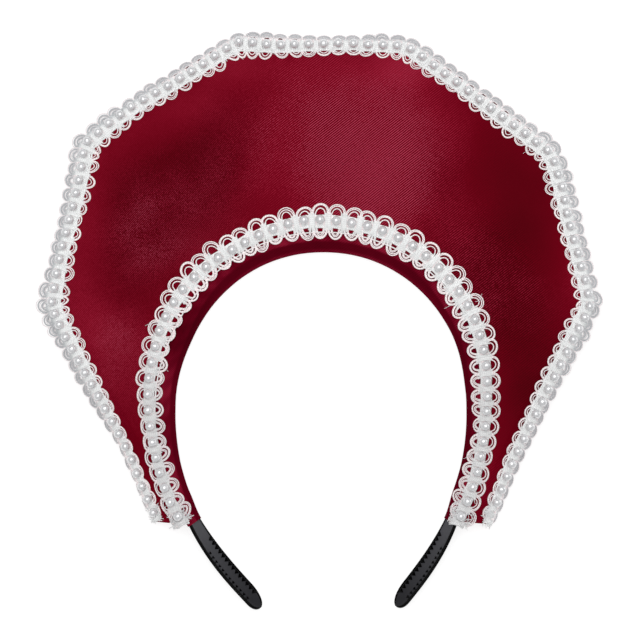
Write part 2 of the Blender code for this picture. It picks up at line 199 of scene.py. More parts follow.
@dataclass(frozen=True)
class Hairband:
    """The hard plastic hairband: an arch on two legs that lean in to the bare toothed ends."""

    half_width: float = 62.9
    arch_rise: float = 68.7
    arch_centre: float = 82.0
    arch_fullness: float = 2.06
    arch_lean: float = 1.0
    arch_lean_heights: tuple[float, float] = (91.0, 116.0)
    leg: Pairs = ((62.9, 51.0), (52.4, 32.6), (26.2, 2.6))
    lean_height: float = 48.0
    lean_at_ends: float = 3.0
    width: float = 9.0
    thickness: float = 1.5
    tilt: float = math.radians(27)
    end_tilt: float = math.radians(44)
    lift: float = 1.3
    sleeve_end_height: float = 36.8
    panel_gap: float = 0.45

    def path(self) -> Path:
        """Lays the inner back edge, from the left end over the arch to the right end.

        Returns:
            The path.
        """
        points = [(self.half_width, self.arch_centre), *self.leg]
        p0, p1, p2, p3 = (np.array(p) for p in points)
        t = np.linspace(0, 1, 33)[1:, None]
        s = 1 - t
        leg = s**3 * p0 + 3 * s * s * t * p1 + 3 * s * t * t * p2 + t**3 * p3
        turn = np.pi * (1 - np.linspace(0, 1, 65))
        power = 2 / self.arch_fullness
        across = np.sign(np.cos(turn)) * np.abs(np.cos(turn)) ** power
        up = np.maximum(np.sin(turn), 0) ** power
        arch = np.stack([self.half_width * across, self.arch_centre + self.arch_rise * up], axis=1)
        points = np.vstack([leg[::-1] * (-1, 1), arch, leg])
        low, high = self.arch_lean_heights
        points[:, 0] += self.lean_at_ends * np.maximum(0, 1 - points[:, 1] / self.lean_height)
        points[:, 0] += self.arch_lean * smooth((points[:, 1] - low) / (high - low))
        return Path(points)


BAND = Hairband()
BAND_PATH = BAND.path()
SLEEVE_RUNS = tuple(BAND_PATH.run_at_height(BAND.sleeve_end_height, left) for left in (True, False))
ACROSS, UP = math.sin(BAND.tilt), math.cos(BAND.tilt)
# The height of the panel's front off the floor, and how far outside the hairband's inner edge it is cut.
FRONT = 2 * BAND.lift + BAND.width * UP + BAND.thickness * ACROSS
CUT_OUT = BAND.width * ACROSS + BAND.thickness * UP + BAND.lift + BAND.panel_gap


def rounded_corner(before: Array, corner: Array, after: Array, radius: float) -> Array:
    """Rounds one corner of a line.

    Args:
        before: The corner before it.
        corner: The corner itself.
        after: The corner after it.
        radius: Its rounding, or 0 for none.

    Returns:
        The points of its arc, or the corner alone.
    """
    if not radius:
        return corner[None, :]
    ahead = (corner - before) / np.linalg.norm(corner - before)
    away = (after - corner) / np.linalg.norm(after - corner)
    turn = math.acos(float(np.clip(ahead @ away, -1, 1)))
    start = corner - ahead * radius * math.tan(turn / 2)
    centre = start + np.array([ahead[1], -ahead[0]]) * radius
    angle = -turn * np.arange(9) / 8
    x, y = start - centre
    cos, sin = np.cos(angle), np.sin(angle)
    return centre + np.stack([x * cos - y * sin, x * sin + y * cos], axis=1)


def outer_path() -> tuple[Path, Array]:
    """Lays the line of the outer pearls.

    Returns:
        The line, and the run of each named corner on it.
    """
    places = [np.array([corner.x, corner.height]) for corner in OUTER_LINE]
    last = len(places) - 1
    points: list[Array] = []
    middles = []
    for i, corner in enumerate(OUTER_LINE):
        arc = rounded_corner(places[max(i - 1, 0)], places[i], places[min(i + 1, last)], corner.radius)
        if points:
            start, end = points[-1], arc[0]
            side = (end - start) / np.linalg.norm(end - start)
            bow = np.array([-side[1], side[0]]) * OUTER_LINE[i - 1].bow
            for t in np.arange(1, 12) / 12:
                points.append(start + (end - start) * t + bow * 4 * t * (1 - t))
        middles.append(len(points) + len(arc) // 2)
        points.extend(arc)
    path = Path(np.array(points))
    return path, path.runs[middles]


OUTER_PATH, CORNER_RUNS = outer_path()


def outer_row(column: str, run: Array) -> Array:
    """A named column of the outer line's table, straight between its corners."""
    return np.interp(run, CORNER_RUNS, [getattr(corner, column) for corner in OUTER_LINE])


def inner_row(column: str, share: Array) -> Array:
    """A named column of the arch braid's table, straight between its rows."""
    shares = [row.share for row in INNER_LINE]
    return np.interp(share, shares, [getattr(row, column) for row in INNER_LINE])


def placed(plan: Array, z: Array) -> Array:
    """Points of the panel's plan at heights z off the floor, as places in the model, in metres."""
    z = np.broadcast_to(z, plan.shape[:-1])
    return np.stack([plan[..., 0] - MIDDLE_X, plan[..., 1] - MIDDLE_HEIGHT, z], axis=-1) * MM


def linear(hex_colour: str) -> tuple[float, float, float, float]:
    """Turns a colour into the linear values that a shader takes.

    Args:
        hex_colour: An sRGB colour in hex.

    Returns:
        Its red, green and blue, and 1.
    """
    values = []
    for i in (0, 2, 4):
        c = int(hex_colour.lstrip("#")[i : i + 2], 16) / 255
        values.append(c / 12.92 if c <= 0.04045 else ((c + 0.055) / 1.055) ** 2.4)
    return (*values, 1.0)


def set_inputs(tree: Tree, node: Node, inputs: dict) -> None:
    """Sets or links a node's inputs.

    Args:
        tree: The node's tree.
        node: The node.
        inputs: A value or another node's output for each input, by name or number.
    """
    for key, value in inputs.items():
        if isinstance(value, Socket):
            tree.links.new(value, node.inputs[key])
        else:
            node.inputs[key].default_value = value


def add_node(tree: Tree, kind: str, inputs: dict | None = None, **settings: object) -> Node:
    """Adds a node.

    Args:
        tree: The tree that it goes into.
        kind: Blender's name of the node.
        inputs: A value or another node's output for each input, by name or number.
        settings: The node's own properties.

    Returns:
        The node.
    """
    node = tree.nodes.new(kind)
    for name, value in settings.items():
        setattr(node, name, value)
    set_inputs(tree, node, inputs or {})
    return node


def new_finish(name: str) -> tuple[Finish, Tree, Node]:
    """Makes an empty material.

    Args:
        name: Its name.

    Returns:
        The material, its tree and its Principled shader.
    """
    made = bpy.data.materials.new(name)
    made.use_nodes = True
    return made, made.node_tree, made.node_tree.nodes["Principled BSDF"]


def object_place(tree: Tree) -> Socket:
    """A point's place on the model, in metres."""
    return add_node(tree, "ShaderNodeTexCoord").outputs["Object"]


def axis_of(tree: Tree, place: Socket, axis: int) -> Socket:
    """One coordinate of a place: 0 for x and 1 for y."""
    return add_node(tree, "ShaderNodeSeparateXYZ", {0: place}).outputs[axis]


def attribute(tree: Tree, name: str) -> Socket:
    """A number that a piece keeps at each of its corners."""
    return add_node(tree, "ShaderNodeAttribute", attribute_name=name).outputs["Fac"]


def noise(tree: Tree, place: Socket, scale: float, detail: float = 2.0) -> Socket:
    """Soft random values from 0 to 1."""
    inputs = {"Vector": place, "Scale": scale, "Detail": detail}
    return add_node(tree, "ShaderNodeTexNoise", inputs).outputs["Fac"]


def maths(tree: Tree, operation: str, *values: Socket | float) -> Socket:
    """The result of a calculation on one to three values."""
    return add_node(tree, "ShaderNodeMath", dict(enumerate(values)), operation=operation).outputs[0]


def ranged(
    tree: Tree,
    value: Socket,
    low: float = 0.0,
    high: float = 1.0,
    first: float = 0.0,
    last: float = 1.0,
    kind: str = "LINEAR",
) -> Socket:
    """A value that goes from first to last as the given one goes from low to high."""
    inputs = {0: value, 1: low, 2: high, 3: first, 4: last}
    return add_node(tree, "ShaderNodeMapRange", inputs, interpolation_type=kind).outputs[0]


def blended(tree: Tree, share: Socket, first: Socket | tuple, second: Socket | tuple) -> Socket:
    """A colour between two others."""
    inputs = {0: share, 6: first, 7: second}
    return add_node(tree, "ShaderNodeMix", inputs, data_type="RGBA").outputs[2]


def bumped(tree: Tree, height: Socket, strength: float, depth: float) -> Socket:
    """The normal of a surface with this relief, which is depth millimetres deep."""
    inputs = {"Strength": strength, "Distance": depth * MM, "Height": height}
    return add_node(tree, "ShaderNodeBump", inputs).outputs[0]


@dataclass(frozen=True)
class SatinZone:
    """A soft patch where the satin turns to or from the light, in millimetres on the model."""

    x: float
    y: float
    across: float
    up: float
    turn: float
    strength: float


def zones(*rows: tuple[float, ...]) -> tuple[SatinZone, ...]:
    """The zones of a table."""
    return tuple(SatinZone(*row) for row in rows)


# Painted light and shade: each zone paints the satin lighter where its strength is above 0 and darker where it
# is below 0, on the panel (SATIN_ZONES) and the sleeve (SLEEVE_ZONES). TWILL_ZONES set how strongly the twill
# lines, the grain and the painted sheen specks show.
SATIN_ZONES = zones(
    (-63, 55, 28, 30, 10, -0.40), (-78, 20, 22, 24, 0, -0.24), (-40, 74, 16, 24, -25, -0.20),
    (-13, 76, 15, 40, -6, 0.06), (22, 68, 20, 32, -8, 0.12), (84, 56, 28, 34, 20, -0.20),
    (50, 44, 10, 30, -4, -0.08), (74, 16, 26, 26, 20, -0.34), (90, -18, 20, 30, 20, -0.33),
    (84, -46, 12, 20, 0, -0.16), (108, 34, 10, 30, 10, 0.14), (-98, 14, 12, 26, 10, 0.12),
    (-78, -30, 14, 30, 0, -0.02), (20, 106, 34, 14, 0, 0.12), (-34, 108, 16, 12, 0, 0.12),
    (-76, 44, 16, 14, 0, -0.13), (-70, 80, 28, 12, 30, 0.17), (36, 108, 14, 10, 0, 0.12),
    (96, 76, 14, 14, 0, 0.10), (-98, 56, 10, 20, 0, 0.08), (-92, -4, 12, 12, 0, 0.06),
)
SLEEVE_ZONES = zones((-58, 6, 12, 26, -15, -0.22), (-60, -38, 12, 22, 0, 0.05))
TWILL_ZONES = zones(
    (24, 66, 34, 34, 0, 0.80), (73, 14, 22, 34, 30, 0.60), (-8, 84, 24, 34, 0, 0.30),
    (-62, 46, 30, 28, 0, 0.64), (-74, 34, 14, 18, 0, 0.40), (-38, 72, 20, 24, 0, 0.40),
    (-84, 8, 20, 26, 0, 0.25), (-84, -22, 14, 24, 0, 0.30), (95, 50, 16, 30, 0, -0.25),
)
# Zones lie at one height, reach through the whole depth, and fade out at this many times their size.
ZONE_MIDDLE = 6.0
ZONE_DEPTH = 50.0
ZONE_FADE = 1.6


@dataclass(frozen=True)
class SatinFinish:
    """Polyester satin, woven with long floats: a deep colour that clears to a soft sheen, with a fine twill.

    Its lines, 0.6 and 0.84 mm apart, are drawn coarser than the real weave so that they show at this scale.
    Where the lines and the grain peak, bright specks of painted sheen lift the colour towards its light and
    shine colours, and the zones paint light and shade into it.
    """

    name: str
    dark: str
    base: str
    light: str
    shine: str
    sheen: float = 0.12
    sheen_tint: str = "#C01F45"
    zones: tuple[SatinZone, ...] = ()
    twill_zones: tuple[SatinZone, ...] = ()
    twill_pitch: float = 0.84
    twill_turn: float = math.radians(52)
    steep_turn: float = math.radians(-38)
    steep_pitch: float = 0.6
    steep_to_twill: tuple[float, float] = (-45.0, 0.0)
    line_depth: float = 0.8
    grain_depth: float = 0.8
    cloud_depth: float = 0.2
    sheen_fleck_depth: float = 0.55
    middle: float = 0.46
    least_twill: float = 0.13
    patchiness: tuple[float, float] = (0.84, 1.06)
    roughness: float = 0.5
    gloss: float = 0.01

    def zone_value(
        self, tree: Tree, place: Socket, patches: tuple[SatinZone, ...], start: float
    ) -> Socket:
        """Adds up the zones that a point lies in.

        Args:
            tree: The material's tree.
            place: The point's place.
            patches: The zones.
            start: The value outside them all.

        Returns:
            The starting value plus the strengths, from 0 to 1.
        """
        total: Socket | float = start
        for zone in patches:
            inputs = {
                0: place,
                1: (zone.x * MM, zone.y * MM, ZONE_MIDDLE * MM),
                2: (0, 0, math.radians(zone.turn)),
                3: (zone.across * MM, zone.up * MM, ZONE_DEPTH * MM),
            }
            inside = add_node(tree, "ShaderNodeMapping", inputs, vector_type="TEXTURE")
            far = add_node(tree, "ShaderNodeVectorMath", {0: inside.outputs[0]}, operation="LENGTH")
            fade = ranged(tree, far.outputs["Value"], 0.0, ZONE_FADE, zone.strength, 0.0, "SMOOTHERSTEP")
            total = maths(tree, "ADD", fade, total)
        return add_node(tree, "ShaderNodeClamp", {0: total}).outputs[0]

    def lines(self, tree: Tree, place: Socket, pitch: float, turn: float) -> Socket:
        """Draws fine straight lines, slightly broken up.

        Args:
            tree: The material's tree.
            place: The point's place.
            pitch: The distance between them.
            turn: Their direction.

        Returns:
            A value from 0 to 1.
        """
        turned = add_node(tree, "ShaderNodeMapping", {0: place, 2: (0, 0, turn)}).outputs[0]
        inputs = {"Vector": turned, "Scale": math.pi / 10 / (pitch * MM)}
        inputs |= {"Distortion": 0.6, "Detail": 1.0, "Detail Scale": 0.4}
        return add_node(tree, "ShaderNodeTexWave", inputs).outputs["Fac"]

    def make(self) -> Finish:
        """Builds the material. The piece's own attribute turns it to or from the light.

        Returns:
            The material.
        """
        made, tree, shader = new_finish(self.name)
        place = object_place(tree)
        patch = ranged(tree, noise(tree, place, 70.0, 3.0), 0.35, 0.65, *self.patchiness)
        twilled = self.zone_value(tree, place, self.twill_zones, self.least_twill)
        twilled = maths(tree, "MULTIPLY", twilled, patch)
        grain = noise(tree, place, 1900.0)
        twill = self.lines(tree, place, self.twill_pitch, self.twill_turn)
        steep = self.lines(tree, place, self.steep_pitch, self.steep_turn)
        side = ranged(tree, axis_of(tree, place, 0), *(x * MM for x in self.steep_to_twill))
        weave = add_node(tree, "ShaderNodeMix", {0: side, 2: steep, 3: twill}).outputs[0]
        high = maths(tree, "ADD", weave, grain)
        # Painted sheen: bright specks where the weave and the grain peak.
        sheen_fleck = ranged(tree, high, 1.0, 1.55, 0.0, self.sheen_fleck_depth, "SMOOTHSTEP")
        turned = self.zone_value(tree, place, self.zones, self.middle)
        # Painted light and shade that the piece carries at its corners.
        turned = maths(tree, "ADD", turned, attribute(tree, "satin_painted_light"))
        value = maths(tree, "MULTIPLY_ADD", sheen_fleck, twilled, turned)
        for part, depth, share in (
            (noise(tree, place, 34.0, 3.0), self.cloud_depth, 1.0),
            (grain, self.grain_depth, twilled),
            (weave, self.line_depth, twilled),
        ):
            about = ranged(tree, part, first=-depth / 2, last=depth / 2)
            value = maths(tree, "MULTIPLY_ADD", about, share, value)
        # The ramp's dark end carries painted shade, and its light and shine colours painted light and sheen.
        ramp = add_node(tree, "ShaderNodeValToRGB", {0: value})
        colours = ramp.color_ramp.elements
        colours[0].color, colours[1].color = linear(self.dark), linear(self.shine)
        colours.new(0.5).color = linear(self.base)
        colours.new(0.8).color = linear(self.light)
        inputs = {
            "Base Color": ramp.outputs[0],
            "Normal": bumped(tree, high, 0.25, 0.06),
            "Roughness": self.roughness,
            "Specular IOR Level": self.gloss,
            "Sheen Weight": self.sheen,
            "Sheen Roughness": 0.4,
            "Sheen Tint": linear(self.sheen_tint),
        }
        set_inputs(tree, shader, inputs)
        return made


@dataclass(frozen=True)
class PlasticFinish:
    """Injection-moulded black polystyrene: a smooth dark rim round an inner face with a fine matt grain."""

    name: str = "moulded black plastic"
    rim: str = "#030303"
    # Painted light and shade: the face's grey is painted reflected light on the black plastic, and the end's
    # darker grey painted shade towards the bare ends.
    face: str = "#4C4C50"
    end: str = "#27272A"
    shaded_end_heights: tuple[float, float] = (-118.0, -86.0)

    def make(self) -> Finish:
        """Builds the material. The piece's own attribute says where its grained inner face is.

        Returns:
            The material.
        """
        made, tree, shader = new_finish(self.name)
        place = object_place(tree)
        face = attribute(tree, "inner_face")
        # Painted shade: the face turns to the end's darker grey towards the bare ends, at the model's lowest
        # heights.
        down = ranged(tree, axis_of(tree, place, 1), *(y * MM for y in self.shaded_end_heights))
        shade = blended(tree, down, linear(self.end), linear(self.face))
        inputs = {
            "Base Color": blended(tree, face, linear(self.rim), shade),
            "Roughness": ranged(tree, face, first=0.26, last=0.55),
            "Normal": bumped(tree, noise(tree, place, 2400.0), 0.2, 0.05),
            "Specular IOR Level": 0.07,
        }
        set_inputs(tree, shader, inputs)
        return made


@dataclass(frozen=True)
class ThreadFinish:
    """Bright rayon gimp cord, two plies twisted together, which gives fine slanting stripes along it.

    It has a little painted glow, is painted grey as painted shade where it hangs free, and is painted darker
    towards the braid's feet as painted shade. The darker colour of its stripes is painted shade in the grooves
    between the plies, and the cord's pink tint in it a painted reflection of the red satin.
    """

    name: str
    light: str = "#FFFDFB"
    # Painted shade of the grooves between the plies, tinted pink on the cords as a painted reflection of the
    # red satin.
    shade: str = "#DDC9CD"
    # Painted shade: the grey of thread that hangs free past the panel.
    free: str = "#B0B2B5"
    lay: float = 1.1
    painted_glow: float = 0.12
    painted_foot_shade: float = 0.0
    foot_shade_colour: str = "#8E8688"
    foot_shade_from: float = 10.0
    foot_shade_at: float = -34.0

    def make(self) -> Finish:
        """Builds the material. Three attributes of the cord give its run, its turn and how free it hangs.

        Returns:
            The material.
        """
        made, tree, shader = new_finish(self.name)
        twist = maths(tree, "MULTIPLY", attribute(tree, "cord_run"), 2 * math.pi / (self.lay * MM))
        round_it = maths(tree, "MULTIPLY_ADD", attribute(tree, "cord_turn"), 4 * math.pi, twist)
        ply = ranged(tree, maths(tree, "SINE", round_it), -1.0, 1.0)
        colour = blended(tree, ply, linear(self.shade), linear(self.light))
        colour = blended(tree, attribute(tree, "cord_painted_shade"), colour, linear(self.free))
        # Painted shade: the colour darkens towards the braid's feet, lower on the model.
        y = axis_of(tree, object_place(tree), 1)
        low = ranged(tree, y, self.foot_shade_from * MM, self.foot_shade_at * MM, 0.0, self.painted_foot_shade)
        colour = blended(tree, low, colour, linear(self.foot_shade_colour))
        inputs = {
            "Base Color": colour,
            "Normal": bumped(tree, ply, 0.5, 0.08),
            # Painted glow: the thread gives off a little light in its own colour.
            "Emission Color": colour,
            "Emission Strength": self.painted_glow,
            "Roughness": 0.5,
            "Sheen Weight": 0.2,
        }
        set_inputs(tree, shader, inputs)
        return made


@dataclass(frozen=True)
class PearlFinish:
    """Imitation pearl, ABS under a lustre coat: soft grey white with a small bright light on it."""

    name: str
    core: str = "#E3E3E5"
    cloud: str = "#D8D9DB"

    def make(self) -> Finish:
        """Builds the material.

        Returns:
            The material.
        """
        made, tree, shader = new_finish(self.name)
        share = ranged(tree, noise(tree, object_place(tree), 380.0), 0.35, 0.65)
        inputs = {
            "Base Color": blended(tree, share, linear(self.core), linear(self.cloud)),
            "Metallic": 0.24,
            "Roughness": 0.22,
            "Specular IOR Level": 0.6,
            "Coat Weight": 1.0,
            "Coat IOR": 1.8,
            "Coat Roughness": 0.12,
        }
        set_inputs(tree, shader, inputs)
        return made


@dataclass(frozen=True)
class FloorFinish:
    """Matt white studio paper, which glows a little so that the ground comes out an even white."""

    name: str = "white studio paper"
    colour: str = "#9A9A9A"
    glow: float = 0.78

    def make(self) -> Finish:
        """Builds the material.

        Returns:
            The material.
        """
        made, tree, shader = new_finish(self.name)
        inputs = {
            "Normal": bumped(tree, noise(tree, object_place(tree), 900.0), 0.05, 0.05),
            "Base Color": linear(self.colour),
            "Roughness": 0.9,
            "Emission Color": linear("#FFFFFF"),
            "Emission Strength": self.glow,
        }
        set_inputs(tree, shader, inputs)
        return made


SHARP_ANGLE = math.radians(60)


def in_scene(name: str, data: bpy.types.ID) -> Object:
    """Puts an object in the scene.

    Args:
        name: Its name.
        data: Its mesh, light or camera.

    Returns:
        The object.
    """
    made = bpy.data.objects.new(name, data)
    bpy.context.scene.collection.objects.link(made)
    return made


def plain_object(name: str, corners: Array, edges: Sequence = (), faces: Sequence = ()) -> Object:
    """Makes a mesh object.

    Args:
        name: Its name.
        corners: Its corners in metres, one row each.
        edges: The numbers of each edge's corners.
        faces: The numbers of each face's corners.

    Returns:
        The object.
    """
    mesh = bpy.data.meshes.new(name)
    mesh.from_pydata(np.asarray(corners).tolist(), list(edges), [tuple(face) for face in faces])
    return in_scene(name, mesh)


def mesh_object(name: str, corners: Array, faces: Sequence, finish: Finish) -> Object:
    """Makes a smooth closed mesh object.

    Args:
        name: The piece's name.
        corners: Its corners in metres, one row each.
        faces: The numbers of each face's corners.
        finish: Its material.

    Returns:
        The object, with its faces turned outwards.
    """
    made = plain_object(name, corners, faces=faces)
    mesh = made.data
    work = bmesh.new()
    work.from_mesh(mesh)
    bmesh.ops.recalc_face_normals(work, faces=work.faces)
    work.to_mesh(mesh)
    work.free()
    mesh.shade_smooth()
    mesh.set_sharp_from_angle(angle=SHARP_ANGLE)
    mesh.materials.append(finish)
    return made


def tube_faces(rings: int, sides: int, first: int = 0) -> Array:
    """Joins each ring of corners to the next.

    Args:
        rings: The number of rings.
        sides: The corners in each.
        first: The number of the first corner.

    Returns:
        The four corners of each face.
    """
    i = np.arange(rings - 1)[:, None] * sides + first
    k = np.arange(sides)[None, :]
    j = (k + 1) % sides
    return np.stack([i + k, i + j, i + sides + j, i + sides + k], axis=-1).reshape(-1, 4)


def closed_tube(name: str, rings: Array, finish: Finish) -> Object:
    """Makes a piece from rings of corners, with a face across each end.

    Args:
        name: The piece's name.
        rings: The rings, each a row of corners in metres.
        finish: Its material.

    Returns:
        The object.
    """
    count, sides = rings.shape[:2]
    faces = [*tube_faces(count, sides), range(sides), range((count - 1) * sides, count * sides)]
    return mesh_object(name, rings.reshape(-1, 3), faces, finish)


def point_values(made: Object, name: str, values: Array) -> None:
    """Stores a number or a vector for each corner of a mesh.

    Args:
        made: The mesh object.
        name: The attribute's name.
        values: A number or a row of three for each corner.
    """
    values = np.asarray(values, np.float32)
    kind, key = ("FLOAT", "value") if values.ndim == 1 else ("FLOAT_VECTOR", "vector")
    made.data.attributes.new(name, kind, "POINT").data.foreach_set(key, values.ravel())


def wear(made: Object, slot: str, *nodes: str) -> None:
    """Fixes a finished piece to the headpiece.

    Args:
        made: The piece.
        slot: Its material slot. It is not used.
        nodes: The plain CAD nodes that it takes the place of.
    """
    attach(made, "root")
    if nodes:
        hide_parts(*nodes)
    made.data.calc_loop_triangles()
    log.info("%s: %d triangles", made.name, len(made.data.loop_triangles))


@dataclass
class CrownPanel:
    """The stiff board in its satin cover, with a rounded edge all round."""

    thickness: float = 2.6
    margin: float = 8.0
    foot: float = 1.0
    cut_trim: float = 2.5
    lean_start: float = 150.0
    top: float = 241.0
    step: float = 1.9
    cut_points: int = 321
    front_rows: int = 30
    back_rows: int = 10
    edge_rows: int = 7
    edge_power: float = 0.8
    billow_margin: float = 9.0

    def lean(self, height: Array) -> Array:
        """How far the panel has leaned back at this height."""
        share = np.maximum(0, (height - self.lean_start) / (self.top - self.lean_start))
        return (FRONT - self.thickness) * share**2

    def front_at(self, height: Array, run: Array, inside: Array) -> Array:
        """The front face this far inside its edge, beside this run of the outer pearls."""
        near = np.maximum(0, 1 - inside / self.margin)
        return FRONT - self.lean(height) - outer_row("edge_fall", run) * near

    def billow(self, plan: Array, inside: Array) -> Array:
        """Gives the satin its own slight rise and fall between the two braids.

        Args:
            plan: Places on the panel's plan.
            inside: How far each lies inside the board's edges.

        Returns:
            The rise of each.
        """
        x, h = plan[..., 0], plan[..., 1]
        waves = (
            0.10 * np.sin(x / 11.0 + h / 47.0)
            + 0.07 * np.sin(x / 5.7 - h / 23.0 + 1.3)
            + 0.05 * np.sin(h / 8.3 + x / 31.0)
        )
        return waves * smooth(inside / self.billow_margin)

    def bearing(self, plan: Array) -> Array:
        """The turn of plan points round the arch's centre, from the left over the top."""
        turn = np.arctan2(plan[:, 1] - BAND.arch_centre, -plan[:, 0])
        return np.where(turn > -np.pi / 2, turn, turn + 2 * np.pi)

    def build(self, finish: Finish) -> Object:
        """Makes the covered board, from the arch cut out to the outer edge, front and back.

        Args:
            finish: Its satin.

        Returns:
            The piece.
        """
        cut_runs = np.linspace(
            SLEEVE_RUNS[0] + self.cut_trim, SLEEVE_RUNS[1] - self.cut_trim, self.cut_points
        )
        cut = BAND_PATH.at(cut_runs) + BAND_PATH.outward(cut_runs) * CUT_OUT
        count = round((OUTER_PATH.length + 2 * self.foot) / self.step)
        runs = np.linspace(-self.foot, OUTER_PATH.length + self.foot, count + 1)
        out = OUTER_PATH.outward(runs, TURN_SPAN)
        edge = OUTER_PATH.at(runs) + out * outer_row("edge_out", runs)[:, None]
        turn_cut, turn_edge = self.bearing(cut), self.bearing(edge)
        spread = (turn_cut[-1] - turn_cut[0]) / (turn_edge[-1] - turn_edge[0])
        turns = turn_cut[0] + (turn_edge - turn_edge[0]) * spread
        inner = np.stack([np.interp(turns, turn_cut, cut[:, i]) for i in (0, 1)], axis=1)
        rings = [self.section(*row) for row in zip(runs, inner, edge, out)]
        return closed_tube("panel_cover", np.array(rings), finish)

    def section(self, run: float, inner: Array, edge: Array, out: Array) -> Array:
        """Makes one ring round the board, from the cut over the front and back again.

        Args:
            run: The run of the outer pearls that it lies beside.
            inner: Its place on the cut.
            edge: Its place on the outer edge.
            out: The direction outwards there.

        Returns:
            Its corners in metres.
        """
        half = self.thickness / 2
        wide = np.linalg.norm(edge - inner)
        toward = (edge - inner) / wide
        turn = np.linspace(0, np.pi, self.edge_rows + 2)[1:-1]
        reach, rise = (
            half * np.sign(wave) * np.abs(wave) ** self.edge_power for wave in (np.sin(turn), np.cos(turn))
        )
        front = np.linspace(half, wide - half, self.front_rows)
        back = np.linspace(wide - half, half, self.back_rows)
        along = np.concatenate([front, wide - half + reach, back, half - reach])
        offset = np.concatenate([np.full(len(front), half), rise, np.full(len(back), -half), -rise])
        plan = inner + toward * along[:, None]
        inside = np.clip((edge - plan) @ out, 0, None)
        heights = self.front_at(plan[:, 1], run, inside) - half + offset
        lifted = np.minimum(inside, along)
        heights[: len(front)] += self.billow(plan, lifted)[: len(front)]
        return placed(plan, heights)

    def dress(self) -> None:
        """Builds the panel in its satin and fixes it on."""
        satin = SatinFinish(
            "crimson polyester satin",
            dark="#420006",
            base="#6E0014",
            light="#9A1D36",
            shine="#A83850",
            zones=SATIN_ZONES,
            twill_zones=TWILL_ZONES,
        )
        wear(self.build(satin.make()), "crown_panel", "crown_panel")


PANEL = CrownPanel()

# The stretch of bare hairband that turns to its full tilt, and how far its tips lean in.
TWIST_SPAN = 30.0
TIP_LEAN = 0.4


def bare_length(run: Array) -> Array:
    """How far past the sleeve's end this run is, and 0 inside the sleeve."""
    return np.maximum(np.maximum(SLEEVE_RUNS[0] - run, run - SLEEVE_RUNS[1]), 0)


def band_tilt(run: Array) -> Array:
    """How far the hairband's inner face is turned to the front, more in its bare ends."""
    twist = np.sin(np.pi / 2 * np.minimum(1, bare_length(run) / TWIST_SPAN))
    return BAND.tilt + (BAND.end_tilt - BAND.tilt) * twist


def band_place(run: Array, across: Array, through: Array) -> Array:
    """Finds places on the hairband.

    Args:
        run: The distance along its inner back edge.
        across: The distance up its inner face from the back edge.
        through: The distance from its inner face outwards.

    Returns:
        The places in metres.
    """
    tilt = band_tilt(run)
    reach = across * np.sin(tilt) + through * np.cos(tilt)
    reach = reach - TIP_LEAN * (bare_length(run) / SLEEVE_RUNS[0]) ** 2
    low_edge = BAND.lift + BAND.thickness * np.sin(tilt)
    z = low_edge + across * np.cos(tilt) - through * np.sin(tilt)
    return placed(BAND_PATH.at(run) + BAND_PATH.outward(run) * reach[..., None], z)


def band_rings(runs: Array, outline: Array) -> Array:
    """The same outline, two rows of across and through values, at each run of the hairband."""
    return np.array([band_place(np.full(outline.shape[1], run), *outline) for run in runs])


def rounded_outline(
    across: tuple[float, float], through: tuple[float, float], radius: float, steps: int, face: Array
) -> Array:
    """Makes a rounded rectangle.

    Args:
        across: Its lowest and highest across value.
        through: Its lowest and highest through value.
        radius: The radius of its corners.
        steps: The points in each corner.
        face: The across and the through values along its lower side.

    Returns:
        Its across and its through values, once round.
    """
    angles = np.linspace(0, np.pi / 2, steps)
    left, right = across[0] + radius, across[1] - radius
    bottom, top = through[0] + radius, through[1] - radius
    parts = []
    for k, (x, y) in enumerate(((right, top), (left, top), (left, bottom), (right, bottom))):
        turn = angles + k * np.pi / 2
        parts.append(np.stack([x + radius * np.cos(turn), y + radius * np.sin(turn)]))
    return np.hstack([*parts[:3], face, parts[3]])


